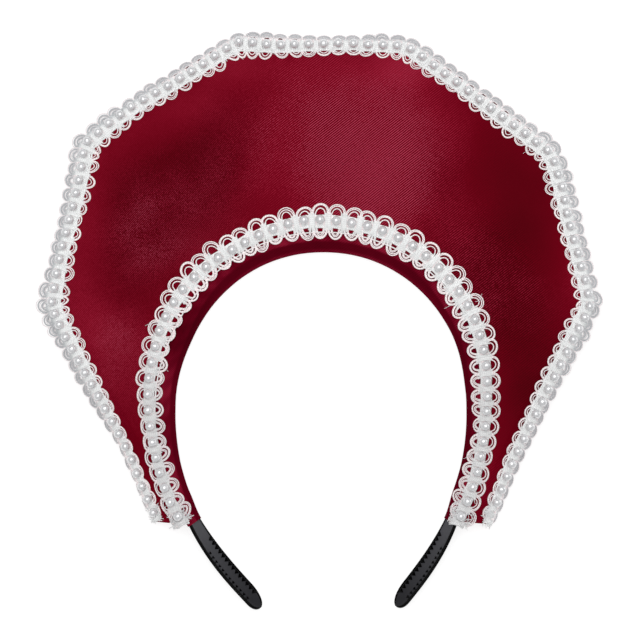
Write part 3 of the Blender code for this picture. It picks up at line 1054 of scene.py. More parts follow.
@dataclass
class BandSleeve:
    """The satin tube on the hairband, slightly puckered where it bends, its back pressed flat."""

    wall: float = 1.0
    fit_gap: float = 0.3
    end_grow: float = 0.5
    end_taper: float = 12.0
    radius: float = 1.25
    lining_radius: float = 0.5
    step: float = 1.0
    pucker: float = 0.012
    ripples: tuple[float, ...] = (3.1, 4.7, 7.9, 13.0)
    pressed: float = 0.4
    seed: int = 11

    def outline(self, grow: float, radius: float, steps: int, face: int = 0) -> Array:
        """Makes a rounded section round the band.

        Args:
            grow: How far outside the band it lies.
            radius: The radius of its corners.
            steps: The points in each corner.
            face: The points along its lower side.

        Returns:
            Its across and its through values.
        """
        high = BAND.width + grow
        side = np.linspace(radius - grow, high - radius, face + 2)[1:-1]
        lower = np.stack([side, np.full(face, -grow)])
        return rounded_outline((-grow, high), (-grow, BAND.thickness + grow), radius, steps, lower)

    def build(self, finish: Finish) -> Object:
        """Makes the tube with its wall, open at both ends.

        Args:
            finish: Its satin.

        Returns:
            The piece.
        """
        count = round((SLEEVE_RUNS[1] - SLEEVE_RUNS[0]) / self.step)
        runs = np.linspace(*SLEEVE_RUNS, count + 1)
        grow = self.wall + self.fit_gap
        across, through = self.outline(grow, self.radius, 7, 9)
        phases = np.random.default_rng(self.seed).uniform(0, 2 * np.pi, 4)
        inward = np.clip(1 - np.abs(through - through.mean()) / 4, 0, 1)
        middle = (BAND.width / 2, BAND.thickness / 2)
        outside, turns = [], []
        for run in runs:
            ripple = sum(math.sin(run / s * 2 + p) for s, p in zip(self.ripples, phases)) / 4
            slant = np.sin(run / 2.2 + across * 0.55 + phases[0]) * 0.5
            shrink = 1 - self.pucker * (1 + ripple + slant * inward)
            from_end = min(run - SLEEVE_RUNS[0], SLEEVE_RUNS[1] - run)
            slack = (grow - self.end_grow) * (1 - float(smooth(from_end / self.end_taper)))
            narrow = 1 - (1 - shrink) * 0.4 - slack / (middle[0] + grow)
            thin = shrink - slack / (middle[1] + grow)
            a = middle[0] + (across - middle[0]) * narrow
            t = middle[1] + (through - middle[1]) * thin
            ring = band_place(np.full(len(a), run), a, t)
            ring[ring[:, 2] < self.pressed * MM, 2] = 0.0
            outside.append(ring)
            turns.append(self.painted_light_at(run, across, phases))
        outer = np.array(outside)
        inner = band_rings(runs, self.outline(self.fit_gap, self.lining_radius, 3))
        rings, sides = outer.shape[:2]
        lined = inner.shape[1]
        first = rings * sides
        corners = np.vstack([outer.reshape(-1, 3), inner.reshape(-1, 3)])
        faces = [*tube_faces(rings, sides), *tube_faces(rings, lined, first)]
        for a, b in ((0, first), ((rings - 1) * sides, first + (rings - 1) * lined)):
            faces.extend(self.end_faces(a, sides, b, lined))
        made = mesh_object("sleeve_cover", corners, faces, finish)
        point_values(made, "satin_painted_light", np.concatenate([*turns, np.zeros(len(corners) - first)]))
        return made

    def painted_light_at(self, run: float, across: Array, phases: Array) -> Array:
        """Finds how much light the satin turns forward: little on its face, more on its two bends.

        Args:
            run: The run along the hairband.
            across: The distances up its inner face.
            phases: The starts of its painted creases.

        Returns:
            A value for each distance.
        """
        # Painted light and shade: painted creases lighten and darken the satin, its face is painted darker and
        # its two bends lighter.
        crease = 0.04 * np.sin(run / 1.3 + across * 0.5 + phases[1])
        crease += 0.05 * np.sin(run / 6.1 + phases[2])
        share = abs(run - BAND_PATH.length / 2) / (BAND_PATH.length / 2)
        side, leg = float(smooth((share - 0.16) / 0.24)), float(smooth((share - 0.55) / 0.3))
        bend, lip = smooth((across - 8.2 + 5.0 * side) / 1.8), smooth((3.8 - across) / 2.4)
        face = 0.07 * (1 - side) + 0.10 * leg - 0.20
        return face + (0.24 + 0.12 * leg + crease) * bend + 0.22 * (1 - side) * lip + 0.4 * crease

    def end_faces(self, outer: int, sides: int, inner: int, lined: int) -> list[tuple[int, ...]]:
        """Closes the wall at one end, between its outer and inner rings.

        Args:
            outer: The number of the outer ring's first corner.
            sides: The corners in the outer ring.
            inner: The number of the inner ring's first corner.
            lined: The corners in the inner ring.

        Returns:
            The corners of each face.
        """
        faces = []
        share = sides / lined
        for k in range(lined):
            low, high = round(k * share), round((k + 1) * share)
            spread = [outer + i % sides for i in range(low, high + 1)]
            faces.append((*spread, inner + (k + 1) % lined, inner + k))
        return faces

    def dress(self) -> None:
        """Builds the sleeve in its satin and fixes it on."""
        satin = SatinFinish(
            "crimson satin sleeve",
            dark="#370109",
            base="#600317",
            light="#8E1B33",
            shine="#A03048",
            sheen=0.3,
            zones=SLEEVE_ZONES,
            gloss=0.0,
        )
        wear(self.build(satin.make()), "band_sleeve", "band_sleeve")


def named(tree: Tree, name: str, kind: str = "FLOAT") -> Socket:
    """A value that each point of the source keeps under this name."""
    inputs = {"Name": name}
    return add_node(tree, "GeometryNodeInputNamedAttribute", inputs, data_type=kind).outputs[0]


def stored(tree: Tree, geometry: Socket, name: str, value: Socket) -> Socket:
    """The geometry with a number kept at each point, for its finish to read."""
    inputs, kept = {0: geometry, "Name": name, "Value": value}, {"data_type": "FLOAT", "domain": "POINT"}
    return add_node(tree, "GeometryNodeStoreNamedAttribute", inputs, **kept).outputs[0]


def finish_nodes(tree: Tree, geometry: Socket, finish: Finish) -> None:
    """Ends a tree: realizes what it repeats, smooths it and gives it its material.

    Args:
        tree: The tree.
        geometry: What it has made.
        finish: The material.
    """
    real = add_node(tree, "GeometryNodeRealizeInstances", {0: geometry})
    smoothed = add_node(tree, "GeometryNodeSetShadeSmooth", {0: real.outputs[0]})
    dressed = add_node(tree, "GeometryNodeSetMaterial", {0: smoothed.outputs[0], 2: finish})
    add_node(tree, "NodeGroupOutput", {0: dressed.outputs[0]})


def new_tree(name: str, inputs: dict[str, tuple[str, float]]) -> tuple[Tree, Node]:
    """Makes a geometry tree with named inputs for its sizes.

    Args:
        name: The tree's name.
        inputs: The type, Int or Float, and the default of each named size.

    Returns:
        The tree and its input node.
    """
    tree = bpy.data.node_groups.new(name, "GeometryNodeTree")
    face = tree.interface
    face.new_socket("Geometry", in_out="INPUT", socket_type="NodeSocketGeometry")
    for label, (kind, value) in inputs.items():
        made = face.new_socket(label, in_out="INPUT", socket_type=f"NodeSocket{kind}")
        made.default_value = value
    face.new_socket("Geometry", in_out="OUTPUT", socket_type="NodeSocketGeometry")
    return tree, add_node(tree, "NodeGroupInput")


def repeated(
    tree: Tree, points: Socket, item: Socket, turn: Socket, scale: Socket | tuple, finish: Finish
) -> None:
    """Ends a tree that sets one item on each of its points.

    Args:
        tree: The tree.
        points: The points.
        item: The item.
        turn: The rotation at each point.
        scale: The scale at each point.
        finish: The material.
    """
    inputs = {"Points": points, "Instance": item, "Rotation": turn, "Scale": scale}
    finish_nodes(tree, add_node(tree, "GeometryNodeInstanceOnPoints", inputs).outputs[0], finish)


def grown(source: Object, tree: Tree, sizes: dict[str, float]) -> Object:
    """Runs a tree on an object, and makes the result a plain mesh object under the same name.

    Args:
        source: The object with the points or lines that the tree starts from. It is removed.
        tree: The geometry tree.
        sizes: A value for each named input.

    Returns:
        The new object.
    """
    name = source.name
    modifier = source.modifiers.new("grow", "NODES")
    modifier.node_group = tree
    sockets = {
        item.name: item.identifier
        for item in tree.interface.items_tree
        if item.item_type == "SOCKET" and item.in_out == "INPUT"
    }
    for label, value in sizes.items():
        modifier[sockets[label]] = value
    bpy.context.view_layer.update()
    evaluated = source.evaluated_get(bpy.context.evaluated_depsgraph_get())
    mesh = bpy.data.meshes.new_from_object(evaluated)
    source.modifiers.clear()
    bpy.data.objects.remove(source)
    mesh.name = name
    return in_scene(name, mesh)


@dataclass
class ThreadBundle:
    """Many threads, each a line of points with its own thickness, made into tubes by one tree."""

    name: str
    places: list[Array] = field(default_factory=list)
    radii: list[Array] = field(default_factory=list)
    free: list[Array] = field(default_factory=list)

    def add(self, places: Array, radius: float, taper: float = 0.0, free: Array | float = 0.0) -> None:
        """Adds one thread.

        Args:
            places: Its points in metres.
            radius: Half its thickness in millimetres.
            taper: The share of its thickness that it loses at its far end.
            free: How far each point hangs free past the panel's edge, from 0 to 1.
        """
        self.places.append(places)
        self.radii.append(radius * MM * (1 - taper * np.linspace(0, 1, len(places)) ** 2))
        self.free.append(np.broadcast_to(np.asarray(free, float), (len(places),)))

    def lines(self) -> Object:
        """Makes the threads a mesh of edges, with their thickness as an attribute.

        Returns:
            The mesh object.
        """
        edges, first = [], 0
        for places in self.places:
            i = np.arange(first, first + len(places) - 1)
            edges.append(np.stack([i, i + 1], axis=1))
            first += len(places)
        made = plain_object(self.name, np.vstack(self.places), np.vstack(edges).tolist())
        point_values(made, "half_thickness", np.concatenate(self.radii))
        point_values(made, "cord_painted_shade", np.concatenate(self.free))
        return made

    def tree(self, finish: Finish) -> Tree:
        """Makes the tree that turns lines into threads.

        Args:
            finish: Their material.

        Returns:
            The tree.
        """
        sizes = {"Sides": ("Int", 6), "Thickness": ("Float", 1.0), "Waver": ("Float", 0.04 * MM)}
        tree, start = new_tree("threads", sizes)
        place = add_node(tree, "GeometryNodeInputPosition").outputs[0]
        wave = add_node(tree, "ShaderNodeTexNoise", {"Vector": place, "Scale": 900.0, "Detail": 1.0})
        inputs = {0: wave.outputs["Color"], 1: (0.5, 0.5, 0.5)}
        about = add_node(tree, "ShaderNodeVectorMath", inputs, operation="SUBTRACT")
        inputs = {0: about.outputs[0], "Scale": start.outputs["Waver"]}
        shift = add_node(tree, "ShaderNodeVectorMath", inputs, operation="SCALE")
        inputs = {0: start.outputs[0], "Offset": shift.outputs[0]}
        moved = add_node(tree, "GeometryNodeSetPosition", inputs)
        curves = add_node(tree, "GeometryNodeMeshToCurve", {0: moved.outputs[0]}).outputs[0]
        inputs = {0: start.outputs["Sides"], "Radius": 1.0}
        ring = add_node(tree, "GeometryNodeCurvePrimitiveCircle", inputs).outputs[0]
        along = add_node(tree, "GeometryNodeSplineParameter")
        inputs = {
            "Curve": stored(tree, curves, "cord_run", along.outputs["Length"]),
            "Profile Curve": stored(tree, ring, "cord_turn", along.outputs["Factor"]),
            "Scale": maths(tree, "MULTIPLY", named(tree, "half_thickness"), start.outputs["Thickness"]),
            "Fill Caps": True,
        }
        finish_nodes(tree, add_node(tree, "GeometryNodeCurveToMesh", inputs).outputs[0], finish)
        return tree

    def build(self, finish: Finish, sides: int) -> Object:
        """Makes all the threads one mesh."""
        return grown(self.lines(), self.tree(finish), {"Sides": sides})


@dataclass(frozen=True)
class Cord:
    """One cord of a scallop, as shares of the repeat's length and of the loop's width.

    It leaves the middle beside its neighbour at foot, swings out to spread and turns at reach. Its grey is the
    share of painted shade that it takes where it hangs free, and its drop is how far it lies under the others.
    """

    foot: float
    spread: float
    reach: float
    thickness: float
    bulge: float = 0.55
    grey: float = 0.2
    drop: float = 0.0


@dataclass(frozen=True)
class BraidSide:
    """One side of a braid: its cords, and how far the middle's threads reach out over them.

    The reaches are shares of the side's width, and the fan is a share of the repeat. Where the side hangs
    past the panel, free_from is how far from the pearls that starts, and its loops lean downhill by sag, both
    in millimetres.
    """

    cords: tuple[Cord, ...]
    wrap_reach: float
    wrap_fan: float
    core_reach: float
    free_from: float = 100.0
    sag: float = 0.0


ARCH_OUTWARD = BraidSide(
    (
        Cord(0.05, 0.495, 0.965, 0.50),
        Cord(0.11, 0.425, 0.885, 0.48),
        Cord(0.18, 0.305, 0.715, 0.48, 0.48),
    ),
    wrap_reach=0.47,
    wrap_fan=0.20,
    core_reach=0.30,
)
ARCH_INWARD = BraidSide(
    (
        Cord(0.05, 0.475, 0.945, 0.52),
        Cord(0.09, 0.42, 0.88, 0.46),
        Cord(0.19, 0.27, 0.79, 0.46, 0.6),
        Cord(0.25, 0.205, 0.725, 0.42, 0.6),
    ),
    wrap_reach=0.53,
    wrap_fan=0.31,
    core_reach=0.35,
)
EDGE_OUTWARD = BraidSide(
    (
        Cord(0.05, 0.49, 0.965, 0.38),
        Cord(0.10, 0.42, 0.85, 0.34, grey=0.4),
        Cord(0.15, 0.35, 0.735, 0.36, grey=0.55),
        Cord(0.20, 0.275, 0.62, 0.40, grey=0.5),
        Cord(0.25, 0.20, 0.50, 0.44, grey=0.5),
        # Painted shade: these two thick cords, painted all grey, lie under the others so that the gaps between
        # the loops show dark.
        Cord(0.10, 0.42, 0.84, 0.80, grey=1.0, drop=0.35),
        Cord(0.20, 0.27, 0.60, 0.90, grey=1.0, drop=0.35),
    ),
    wrap_reach=0.44,
    wrap_fan=0.18,
    core_reach=0.33,
    free_from=0.8,
    sag=1.6,
)
EDGE_INWARD = BraidSide(
    (
        Cord(0.05, 0.49, 0.965, 0.44),
        Cord(0.11, 0.42, 0.895, 0.40),
        Cord(0.20, 0.285, 0.76, 0.40, 0.56),
    ),
    wrap_reach=0.62,
    wrap_fan=0.29,
    core_reach=0.50,
)


# How the braids were laid by hand. KNOTS gives the run at numbered repeats, WANDER how far the pearls stray
# outwards at a run, and GATHER how much wider than its table the outer braid is at a run, over the panel
# (INNER) and outside it (OUTER).
OUTER_KNOTS = (
    (0, 0), (9.5, 57.3), (15.5, 91.3), (17.5, 101.4), (20.5, 120.1), (29.5, 171.2), (39.5, 229.8),
    (47.5, 277.3), (52.5, 308.7), (62.5, 369.0), (67.5, 398.7), (72.5, 426.5), (77.5, 455.8),
    (81.5, 476.9), (96, 561.1),
)
OUTER_WANDER = (
    (0, -0.2), (55, -0.5), (75, -0.1), (94, 0.5), (103, -0.6), (123, 0.7), (158, -0.9), (183, 0.9),
    (196, 0.8), (213, -0.6), (226, -1.0), (248, -0.2), (262, -1.3), (277, -0.3), (290, 0.5), (302, -0.1),
    (322, -0.4), (370, -1.3), (390, -0.7), (410, 0.0), (423, -0.7), (440, -0.1), (480, 0.0), (561, -0.2),
)
INNER_GATHER = (
    (24, 0.0), (40, -0.5), (56, 0.3), (72, 0.8), (88, 0.1), (104, 1.0), (120, -1.5), (136, -0.8),
    (152, 0.0), (168, 0.8), (184, -1.1), (200, -1.9), (216, -0.6), (232, -0.3), (248, 0.6), (264, 0.7),
    (280, -0.6), (296, -1.6), (312, -0.4), (328, 0.5), (344, -0.7), (360, 0.0), (392, 0.4), (408, -0.6),
    (424, -1.0), (456, -1.1), (472, 0.0), (504, 0.0), (520, -0.5), (552, -0.4),
)
OUTER_GATHER = (
    (40, 0.0), (56, 0.5), (72, 0.0), (88, 1.1), (104, 0.0), (136, -0.7), (168, 0.0), (184, 0.7),
    (216, -0.3), (232, -0.5), (256, 0.2), (280, -0.4), (300, 0.4), (328, 0.2), (360, -0.6), (376, -0.5),
    (408, 0.3), (440, -0.6), (472, 0.6), (504, -0.2), (536, 0.4), (552, -0.2),
)
ARCH_KNOTS = (
    (0, 0), (4.5, 30.1), (11.5, 77.3), (16.5, 110.8), (22.5, 149.9), (24.5, 163.3), (29.5, 196.6),
    (32.5, 217.6), (33.5, 224.8), (37.5, 251.6), (41.5, 278.2), (44.5, 296.9), (47.5, 316.4), (51, 339.5),
)
ARCH_WANDER = (
    (0, -0.8), (30, -1.3), (50, -0.2), (70, 0.1), (84, 1.2), (98, 0.9), (117, -0.1), (130, -0.9),
    (150, -0.1), (163, 0.7), (176, 0.2), (203, 0.3), (231, 0.0), (257, -0.2), (277, 0.3), (300, -0.3),
    (339, -0.5),
)


class Edge(Enum):
    """Which way a side of the braid faces."""

    OUTWARD = 1
    INWARD = -1


@dataclass
class PearlBraid:
    """Gimp braid: scallops of looped cords on both sides of a wrapped middle that carries the pearls."""

    name: str
    node: str
    path: Path
    knots: Pairs
    wander: Pairs
    widths: Callable[[Array], tuple[Array, Array]]
    ground: Callable[[Array, Array], Array]
    outward: BraidSide
    inward: BraidSide
    seed: int
    cord_points: int = 17
    cord_pile: float = 0.62
    free_blend: float = 1.6
    wild_ends: float = 2.5
    pearl_radius: float = 1.92
    pearl_rise: float = 2.3
    pearl_shape: tuple[float, float, float] = (0.99, 1.03, 0.97)
    strands: int = 13
    strand_radius: float = 0.19
    near_fan: float = 0.16
    core_threads: int = 11
    core_radius: float = 0.42
    strays: int = 5
    stray_radius: float = 0.11
    tangled: int = 60
    frays: tuple[float, float] = (2.1, 2.1)
    frayed_per_mm: int = 13
    skipped: int = 0

    def __post_init__(self) -> None:
        """Sets the number of repeats and the source of its hand-made differences."""
        self.count = int(self.knots[-1][0])
        self.rng = np.random.default_rng(self.seed)

    def run_at(self, cell: Array) -> Array:
        """The run at this many repeats from the left end, as the braid was laid by hand."""
        cells, runs = zip(*self.knots)
        return np.interp(cell, cells, np.array(runs) * self.path.length / runs[-1])

    def step_at(self, cell: float) -> float:
        """The length of one repeat round here."""
        low, high = max(cell - 0.5, 0.0), min(cell + 0.5, float(self.count))
        return float(self.run_at(high) - self.run_at(low)) / (high - low)

    def wandered(self, run: Array) -> Array:
        """How far outside the braid's line the pearls lie here."""
        return np.interp(run, *zip(*self.wander))

    def freed(self, out: Array, side: BraidSide) -> Array:
        """How free of the panel a side's threads hang this far out, from 0 to 1."""
        return smooth((out - side.free_from) / self.free_blend)

    def at(self, run: Array, out: Array, lift: Array) -> Array:
        """Finds places on the braid.

        Args:
            run: The run along it.
            out: The distance outside its line.
            lift: The height over the satin.

        Returns:
            The places in metres.
        """
        run, out = np.asarray(run, float), np.asarray(out, float)
        plan = self.path.at(run) + self.path.outward(run, TURN_SPAN) * out[..., None]
        return placed(plan, self.ground(run, out) + lift)

    def loop(self, cell: int, cord: Cord, edge: Edge, lean: float, stretch: float) -> tuple[Array, Array]:
        """Lays one cord of one scallop, from the middle round and back.

        Args:
            cell: The number of its repeat.
            cord: The cord.
            edge: The side that it is on.
            lean: How far it leans along the braid, as a share of its reach.
            stretch: Its width, as a share of the table's.

        Returns:
            Its points in metres, and how free each hangs.
        """
        run, step = self.run_at(cell + 0.5), self.step_at(cell + 0.5)
        wide = self.widths(run)[0 if edge is Edge.INWARD else 1] * stretch
        reach = cord.reach * wide
        waist = reach * cord.bulge
        foot, spread = (0.5 - cord.foot) * step, cord.spread * step
        turn = np.linspace(np.pi, 0, 9)
        along = [-foot, -foot * 0.97, -(foot + spread) / 2]
        out = [0.3, waist * 0.38, waist * 0.72]
        arc_along, arc_out = spread * np.cos(turn), waist + (reach - waist) * np.sin(turn)
        along = np.array([*along, *arc_along, *(-a for a in reversed(along))])
        out = np.array([*out, *arc_out, *reversed(out)])
        share = np.linspace(0, len(along) - 1, self.cord_points)
        index = np.arange(len(along))
        along, out = np.interp(share, index, along), np.interp(share, index, out)
        side = self.outward if edge is Edge.OUTWARD else self.inward
        downhill = -float(self.path.ahead(run, TURN_SPAN)[1])
        along = along + lean * out + side.sag * downhill * smooth(out / 3.0)
        pile = self.cord_pile * np.exp(-((out / 2.0) ** 2))
        lift = cord.thickness / 2 + 0.05 + pile + 0.25 * (1 - cord.reach) - cord.drop
        return self.at(run + along, out * edge.value, lift), self.freed(out, side) * cord.grey

    def cords(self, finish: Finish) -> Object:
        """Makes all the scallops.

        Args:
            finish: The cords' material.

        Returns:
            The piece.
        """
        bundle = ThreadBundle(f"{self.name}_cords")
        for cell in range(self.count):
            wild = self.wild_ends if min(cell, self.count - 1 - cell) < 2 else 1.0
            for edge, side in ((Edge.OUTWARD, self.outward), (Edge.INWARD, self.inward)):
                lean = self.rng.normal(0, 0.10 * wild)
                stretch = 1 + self.rng.normal(0, 0.055 * wild)
                for cord in side.cords:
                    own = stretch * (1 + self.rng.normal(0, 0.015))
                    places, free = self.loop(cell, cord, edge, lean, own)
                    radius = cord.thickness / 2 * self.rng.uniform(0.9, 1.1)
                    bundle.add(places, radius, free=free)
        return bundle.build(finish, 6)

    def wraps(self, finish: Finish) -> Object:
        """Makes the white threads that fan out between the pearls and bind the middle.

        Args:
            finish: The threads' material.

        Returns:
            The piece.
        """
        bundle = ThreadBundle(f"{self.name}_wraps")
        t = np.linspace(-1, 1, 9)
        for joint in range(self.count + 1):
            run, step = self.run_at(joint), self.step_at(joint)
            inner, outer = self.widths(run)
            for k in range(self.strands):
                share = (k + 0.5) / self.strands * 2 - 1
                near = share * self.near_fan * step
                far_in = share * self.inward.wrap_fan * step + self.rng.normal(0, 0.2)
                far_out = share * self.outward.wrap_fan * step + self.rng.normal(0, 0.2)
                far = np.where(t < 0, far_in, far_out)
                along = near + (far - near) * np.abs(t) ** 2.2
                long = 1 + self.rng.normal(0, 0.07)
                reach = np.where(t < 0, inner * self.inward.wrap_reach, outer * self.outward.wrap_reach)
                out = t * reach * long + self.wandered(run) * (1 - np.abs(t))
                rise = 0.45 + (0.75 + 0.3 * self.rng.random()) * (1 - np.abs(t) ** 2)
                radius = self.strand_radius * self.rng.uniform(0.8, 1.2)
                bundle.add(self.at(run + along, out, rise), radius, free=self.freed(out, self.outward))
        self.add_core(bundle)
        self.add_strays(bundle)
        for end, way, longest in ((0.0, -1, self.frays[0]), (self.path.length, 1, self.frays[1])):
            self.add_frayed_end(bundle, end, way, longest)
        return bundle.build(finish, 5)

    def add_strays(self, bundle: ThreadBundle) -> None:
        """Adds a few loose fine threads that stick out of the braid.

        Args:
            bundle: The threads to add them to.
        """
        t = np.linspace(0, 1, 8)
        for _ in range(self.strays):
            run = self.rng.uniform(0.03, 0.97) * self.path.length
            way = self.rng.choice((-1.0, 1.0))
            wide = self.widths(run)[0 if way < 0 else 1]
            out = way * (0.5 * wide + t * self.rng.uniform(0.5, 0.75) * wide)
            along = run + self.rng.normal(0, 2.2) * t**1.5 + self.rng.normal(0, 0.5) * np.sin(t * 5)
            rise = 1.0 + self.rng.uniform(-0.3, 0.5) * t
            bundle.add(self.at(along, out, rise), self.stray_radius, 0.4)

    def add_core(self, bundle: ThreadBundle) -> None:
        """Adds the straight threads under the pearls, along the whole braid.

        Args:
            bundle: The threads to add them to.
        """
        runs = np.linspace(0, self.path.length, self.count * 3 + 1)
        inner, outer = self.widths(runs)
        for share in np.linspace(-1, 1, self.core_threads):
            wide = inner * self.inward.core_reach if share < 0 else outer * self.outward.core_reach
            out = share * wide + 0.12 * np.sin(runs * 2.1 + share * 9)
            out = out + 0.5 * self.wandered(runs)
            free = self.freed(out, self.outward)
            bundle.add(self.at(runs, out, self.core_radius), self.core_radius, free=free)

    def add_frayed_end(self, bundle: ThreadBundle, end: float, way: int, longest: float) -> None:
        """Adds the threads that spread, stick out and tangle at a cut end.

        Args:
            bundle: The threads to add them to.
            end: The run of the end.
            way: The way out of the braid there, -1 or 1.
            longest: The length of the longest thread that sticks out.
        """
        inner, outer = self.widths(end)
        for _ in range(round(self.frayed_per_mm * longest)):
            out = self.rng.uniform(-0.7 * inner, 0.7 * outer)
            long = self.rng.uniform(0.5, longest)
            t = np.linspace(0, 1, 6)
            drift = self.rng.normal(0, 0.8) * t**2
            along = end + way * (t * long - 0.8)
            rise = 0.4 + self.rng.uniform(0, 1.0) + self.rng.normal(0, 0.3) * t
            places = self.at(along, out + drift, np.maximum(rise, 0.2))
            bundle.add(places, self.rng.uniform(0.12, 0.24), 0.5)
        for _ in range(self.tangled):
            out = self.rng.uniform(-0.75 * inner, 0.75 * outer)
            start = end - way * abs(self.rng.normal(0, 4.5))
            t = np.linspace(-1, 1, 7)
            half, turn = self.rng.uniform(0.9, 2.2), self.rng.uniform(0, np.pi)
            curl = self.rng.normal(0, 0.5) * t**2
            along = start + half * t * np.cos(turn) - curl * np.sin(turn)
            across = out + half * t * np.sin(turn) + curl * np.cos(turn)
            rise = 0.7 + 0.5 * self.rng.random() * (1 - t**2)
            bundle.add(self.at(along, across, rise), self.rng.uniform(0.12, 0.2), free=0.3)

    def pearls(self, finish: Finish) -> Object:
        """Sets a bead on each repeat, instanced by one tree along the braid.

        Args:
            finish: The pearls' material.

        Returns:
            The piece.
        """
        beads = self.count - self.skipped
        runs = self.run_at(np.arange(beads) + 0.5) + self.rng.normal(0, 0.08, beads)
        out = self.wandered(runs) + self.rng.normal(0, 0.08, beads)
        source = plain_object(f"{self.name}_pearls", self.at(runs, out, self.pearl_rise))
        ahead = self.path.ahead(runs, TURN_SPAN)
        point_values(source, "ahead", np.column_stack([ahead, np.zeros(beads)]))
        sizes = {"Radius": ("Float", self.pearl_radius * MM), "Segments": ("Int", 24), "Rings": ("Int", 14)}
        tree, start = new_tree("pearls", sizes)
        inputs = {name: start.outputs[name] for name in sizes}
        bead = add_node(tree, "GeometryNodeMeshUVSphere", inputs).outputs[0]
        inputs = {"Vector": named(tree, "ahead", "FLOAT_VECTOR")}
        turned = add_node(tree, "FunctionNodeAlignRotationToVector", inputs, axis="X").outputs[0]
        repeated(tree, start.outputs[0], bead, turned, self.pearl_shape, finish)
        return grown(source, tree, {"Radius": self.pearl_radius * MM})

    def dress(self, thread: Finish, wrap: Finish, pearl: Finish) -> None:
        """Builds the braid's three pieces and fixes them on.

        Args:
            thread: The cords' material.
            wrap: The wrapping threads' material.
            pearl: The pearls' material.
        """
        wear(self.cords(thread), self.node, self.node)
        wear(self.wraps(wrap), self.node)
        wear(self.pearls(pearl), self.node)


@dataclass
class BareBand:
    """The hairband itself, with its rounded bare ends and two rows of teeth in each."""

    outer_rounding: float = 4.6
    inner_rounding: float = 10.0
    tip_half_width: float = 0.6
    tip_share: float = 0.6
    longer: tuple[float, float] = (0.9, 0.4)
    step: float = 0.8
    inner_rim: float = 1.3
    outer_rim: float = 0.75
    radius: float = 0.45
    teeth: int = 14
    short_row: int = 2
    tooth_pitch: float = 2.2
    teeth_from_end: float = 4.8
    tooth_rows_in: tuple[float, float] = (2.2, 1.7)
    tooth_scales: tuple[float, float] = (1.25, 0.8)
    tooth_half: float = 1.1
    tooth_height: float = 0.7
    tooth_point: float = 0.1

    def width_at(self, run: float) -> tuple[float, float]:
        """Finds where the band's two edges are.

        Args:
            run: The run along it.

        Returns:
            Its lowest and highest across value.
        """
        left, right = self.longer
        from_end = min(run + left, BAND_PATH.length + right - run)
        tip = BAND.width * self.tip_share
        sides = []
        for rounding, wide in ((self.inner_rounding, tip), (self.outer_rounding, BAND.width - tip)):
            short = max(0.0, 1 - from_end / rounding)
            sides.append(max(wide * math.sqrt(max(0.0, 1 - short * short)), self.tip_half_width))
        return tip - sides[0], tip + sides[1]

    def face_at(self, low: float, high: float) -> tuple[float, float]:
        """The across values between which the inner face lies, inside its raised rim."""
        wide = high - low
        return low + min(self.inner_rim, 0.3 * wide), high - min(self.outer_rim, 0.2 * wide)

    def outline(self, low: float, high: float) -> Array:
        """Makes the band's section, with rounded edges and an inner face sunk a little inside its rim.

        Args:
            low: Its lowest across value.
            high: Its highest.

        Returns:
            Its across and its through values.
        """
        start, end = self.face_at(low, high)
        sunk = 0.08 + 0.06 * np.sin(np.linspace(0, np.pi, 5))
        face = [[start, *np.linspace(start + 0.06, end - 0.06, 5), end], [0.0, *sunk, 0.0]]
        radius = min(self.radius, 0.18 * (high - low))
        return rounded_outline((low, high), (0.0, BAND.thickness), radius, 4, np.array(face))

    def build(self, finish: Finish) -> Object:
        """Makes the smooth band and marks its inner face.

        Args:
            finish: Its plastic.

        Returns:
            The piece.
        """
        near = self.inner_rounding * (1 - np.cos(np.linspace(0, np.pi / 2, 18)))
        left, right = (
            np.concatenate([near, np.arange(near[-1] + self.step, SLEEVE_RUNS[0] + more, self.step)]) - more
            for more in self.longer
        )
        middle = np.linspace(*SLEEVE_RUNS, 160)
        rings, marks = [], []
        for run in np.concatenate([left, middle, BAND_PATH.length - right[::-1]]):
            low, high = self.width_at(run)
            across, through = self.outline(low, high)
            rings.append(band_place(np.full(len(across), run), across, through))
            start, end = self.face_at(low, high)
            facing = (across > start + 0.03) & (across < end - 0.03)
            marks.append(facing & (through < BAND.thickness / 2))
        made = closed_tube("hairband_core", np.array(rings), finish)
        point_values(made, "inner_face", np.concatenate(marks).astype(float))
        return made

    def tooth_rows(self, finish: Finish) -> Object:
        """Sets small pointed teeth along both edges of each bare end, instanced by one tree.

        Args:
            finish: Their plastic.

        Returns:
            The piece.
        """
        runs = self.teeth_from_end + self.tooth_pitch * (np.arange(self.teeth) + 0.5)
        places, scales, acrosses, ups = [], [], [], []
        for k, run in enumerate(np.concatenate([runs, BAND_PATH.length - runs])):
            low, high = self.width_at(float(run))
            rows = list(zip((low + self.tooth_rows_in[0], high - self.tooth_rows_in[1]), self.tooth_scales))
            if k % self.teeth >= self.teeth - self.short_row:
                rows.pop()
            for across, scale in rows:
                beside = across + np.array([0.0, 0.0, 1.0])
                at, deep, wide = band_place(np.full(3, run), beside, np.array([0.0, 1.0, 0.0]))
                places.append(at)
                ups.append((at - deep) / MM)
                acrosses.append((wide - at) / MM)
                scales.append(scale)
        source = plain_object("hairband_teeth", places)
        for name, values in (("up", ups), ("across", acrosses), ("size", scales)):
            point_values(source, name, values)
        sizes = {"Half": self.tooth_half * MM, "Height": self.tooth_height * MM}
        tree, start = new_tree("teeth", {name: ("Float", value) for name, value in sizes.items()})
        inputs = {"Vertices": 3, "Radius Top": self.tooth_point * MM}
        inputs |= {"Radius Bottom": start.outputs["Half"], "Depth": start.outputs["Height"]}
        cone = add_node(tree, "GeometryNodeMeshCone", inputs).outputs[0]
        inputs = {k: named(tree, name, "FLOAT_VECTOR") for k, name in enumerate(("up", "across"))}
        turned = add_node(
            tree, "FunctionNodeAxesToRotation", inputs, primary_axis="Z", secondary_axis="X"
        ).outputs[0]
        repeated(tree, start.outputs[0], cone, turned, named(tree, "size"), finish)
        return grown(source, tree, sizes)

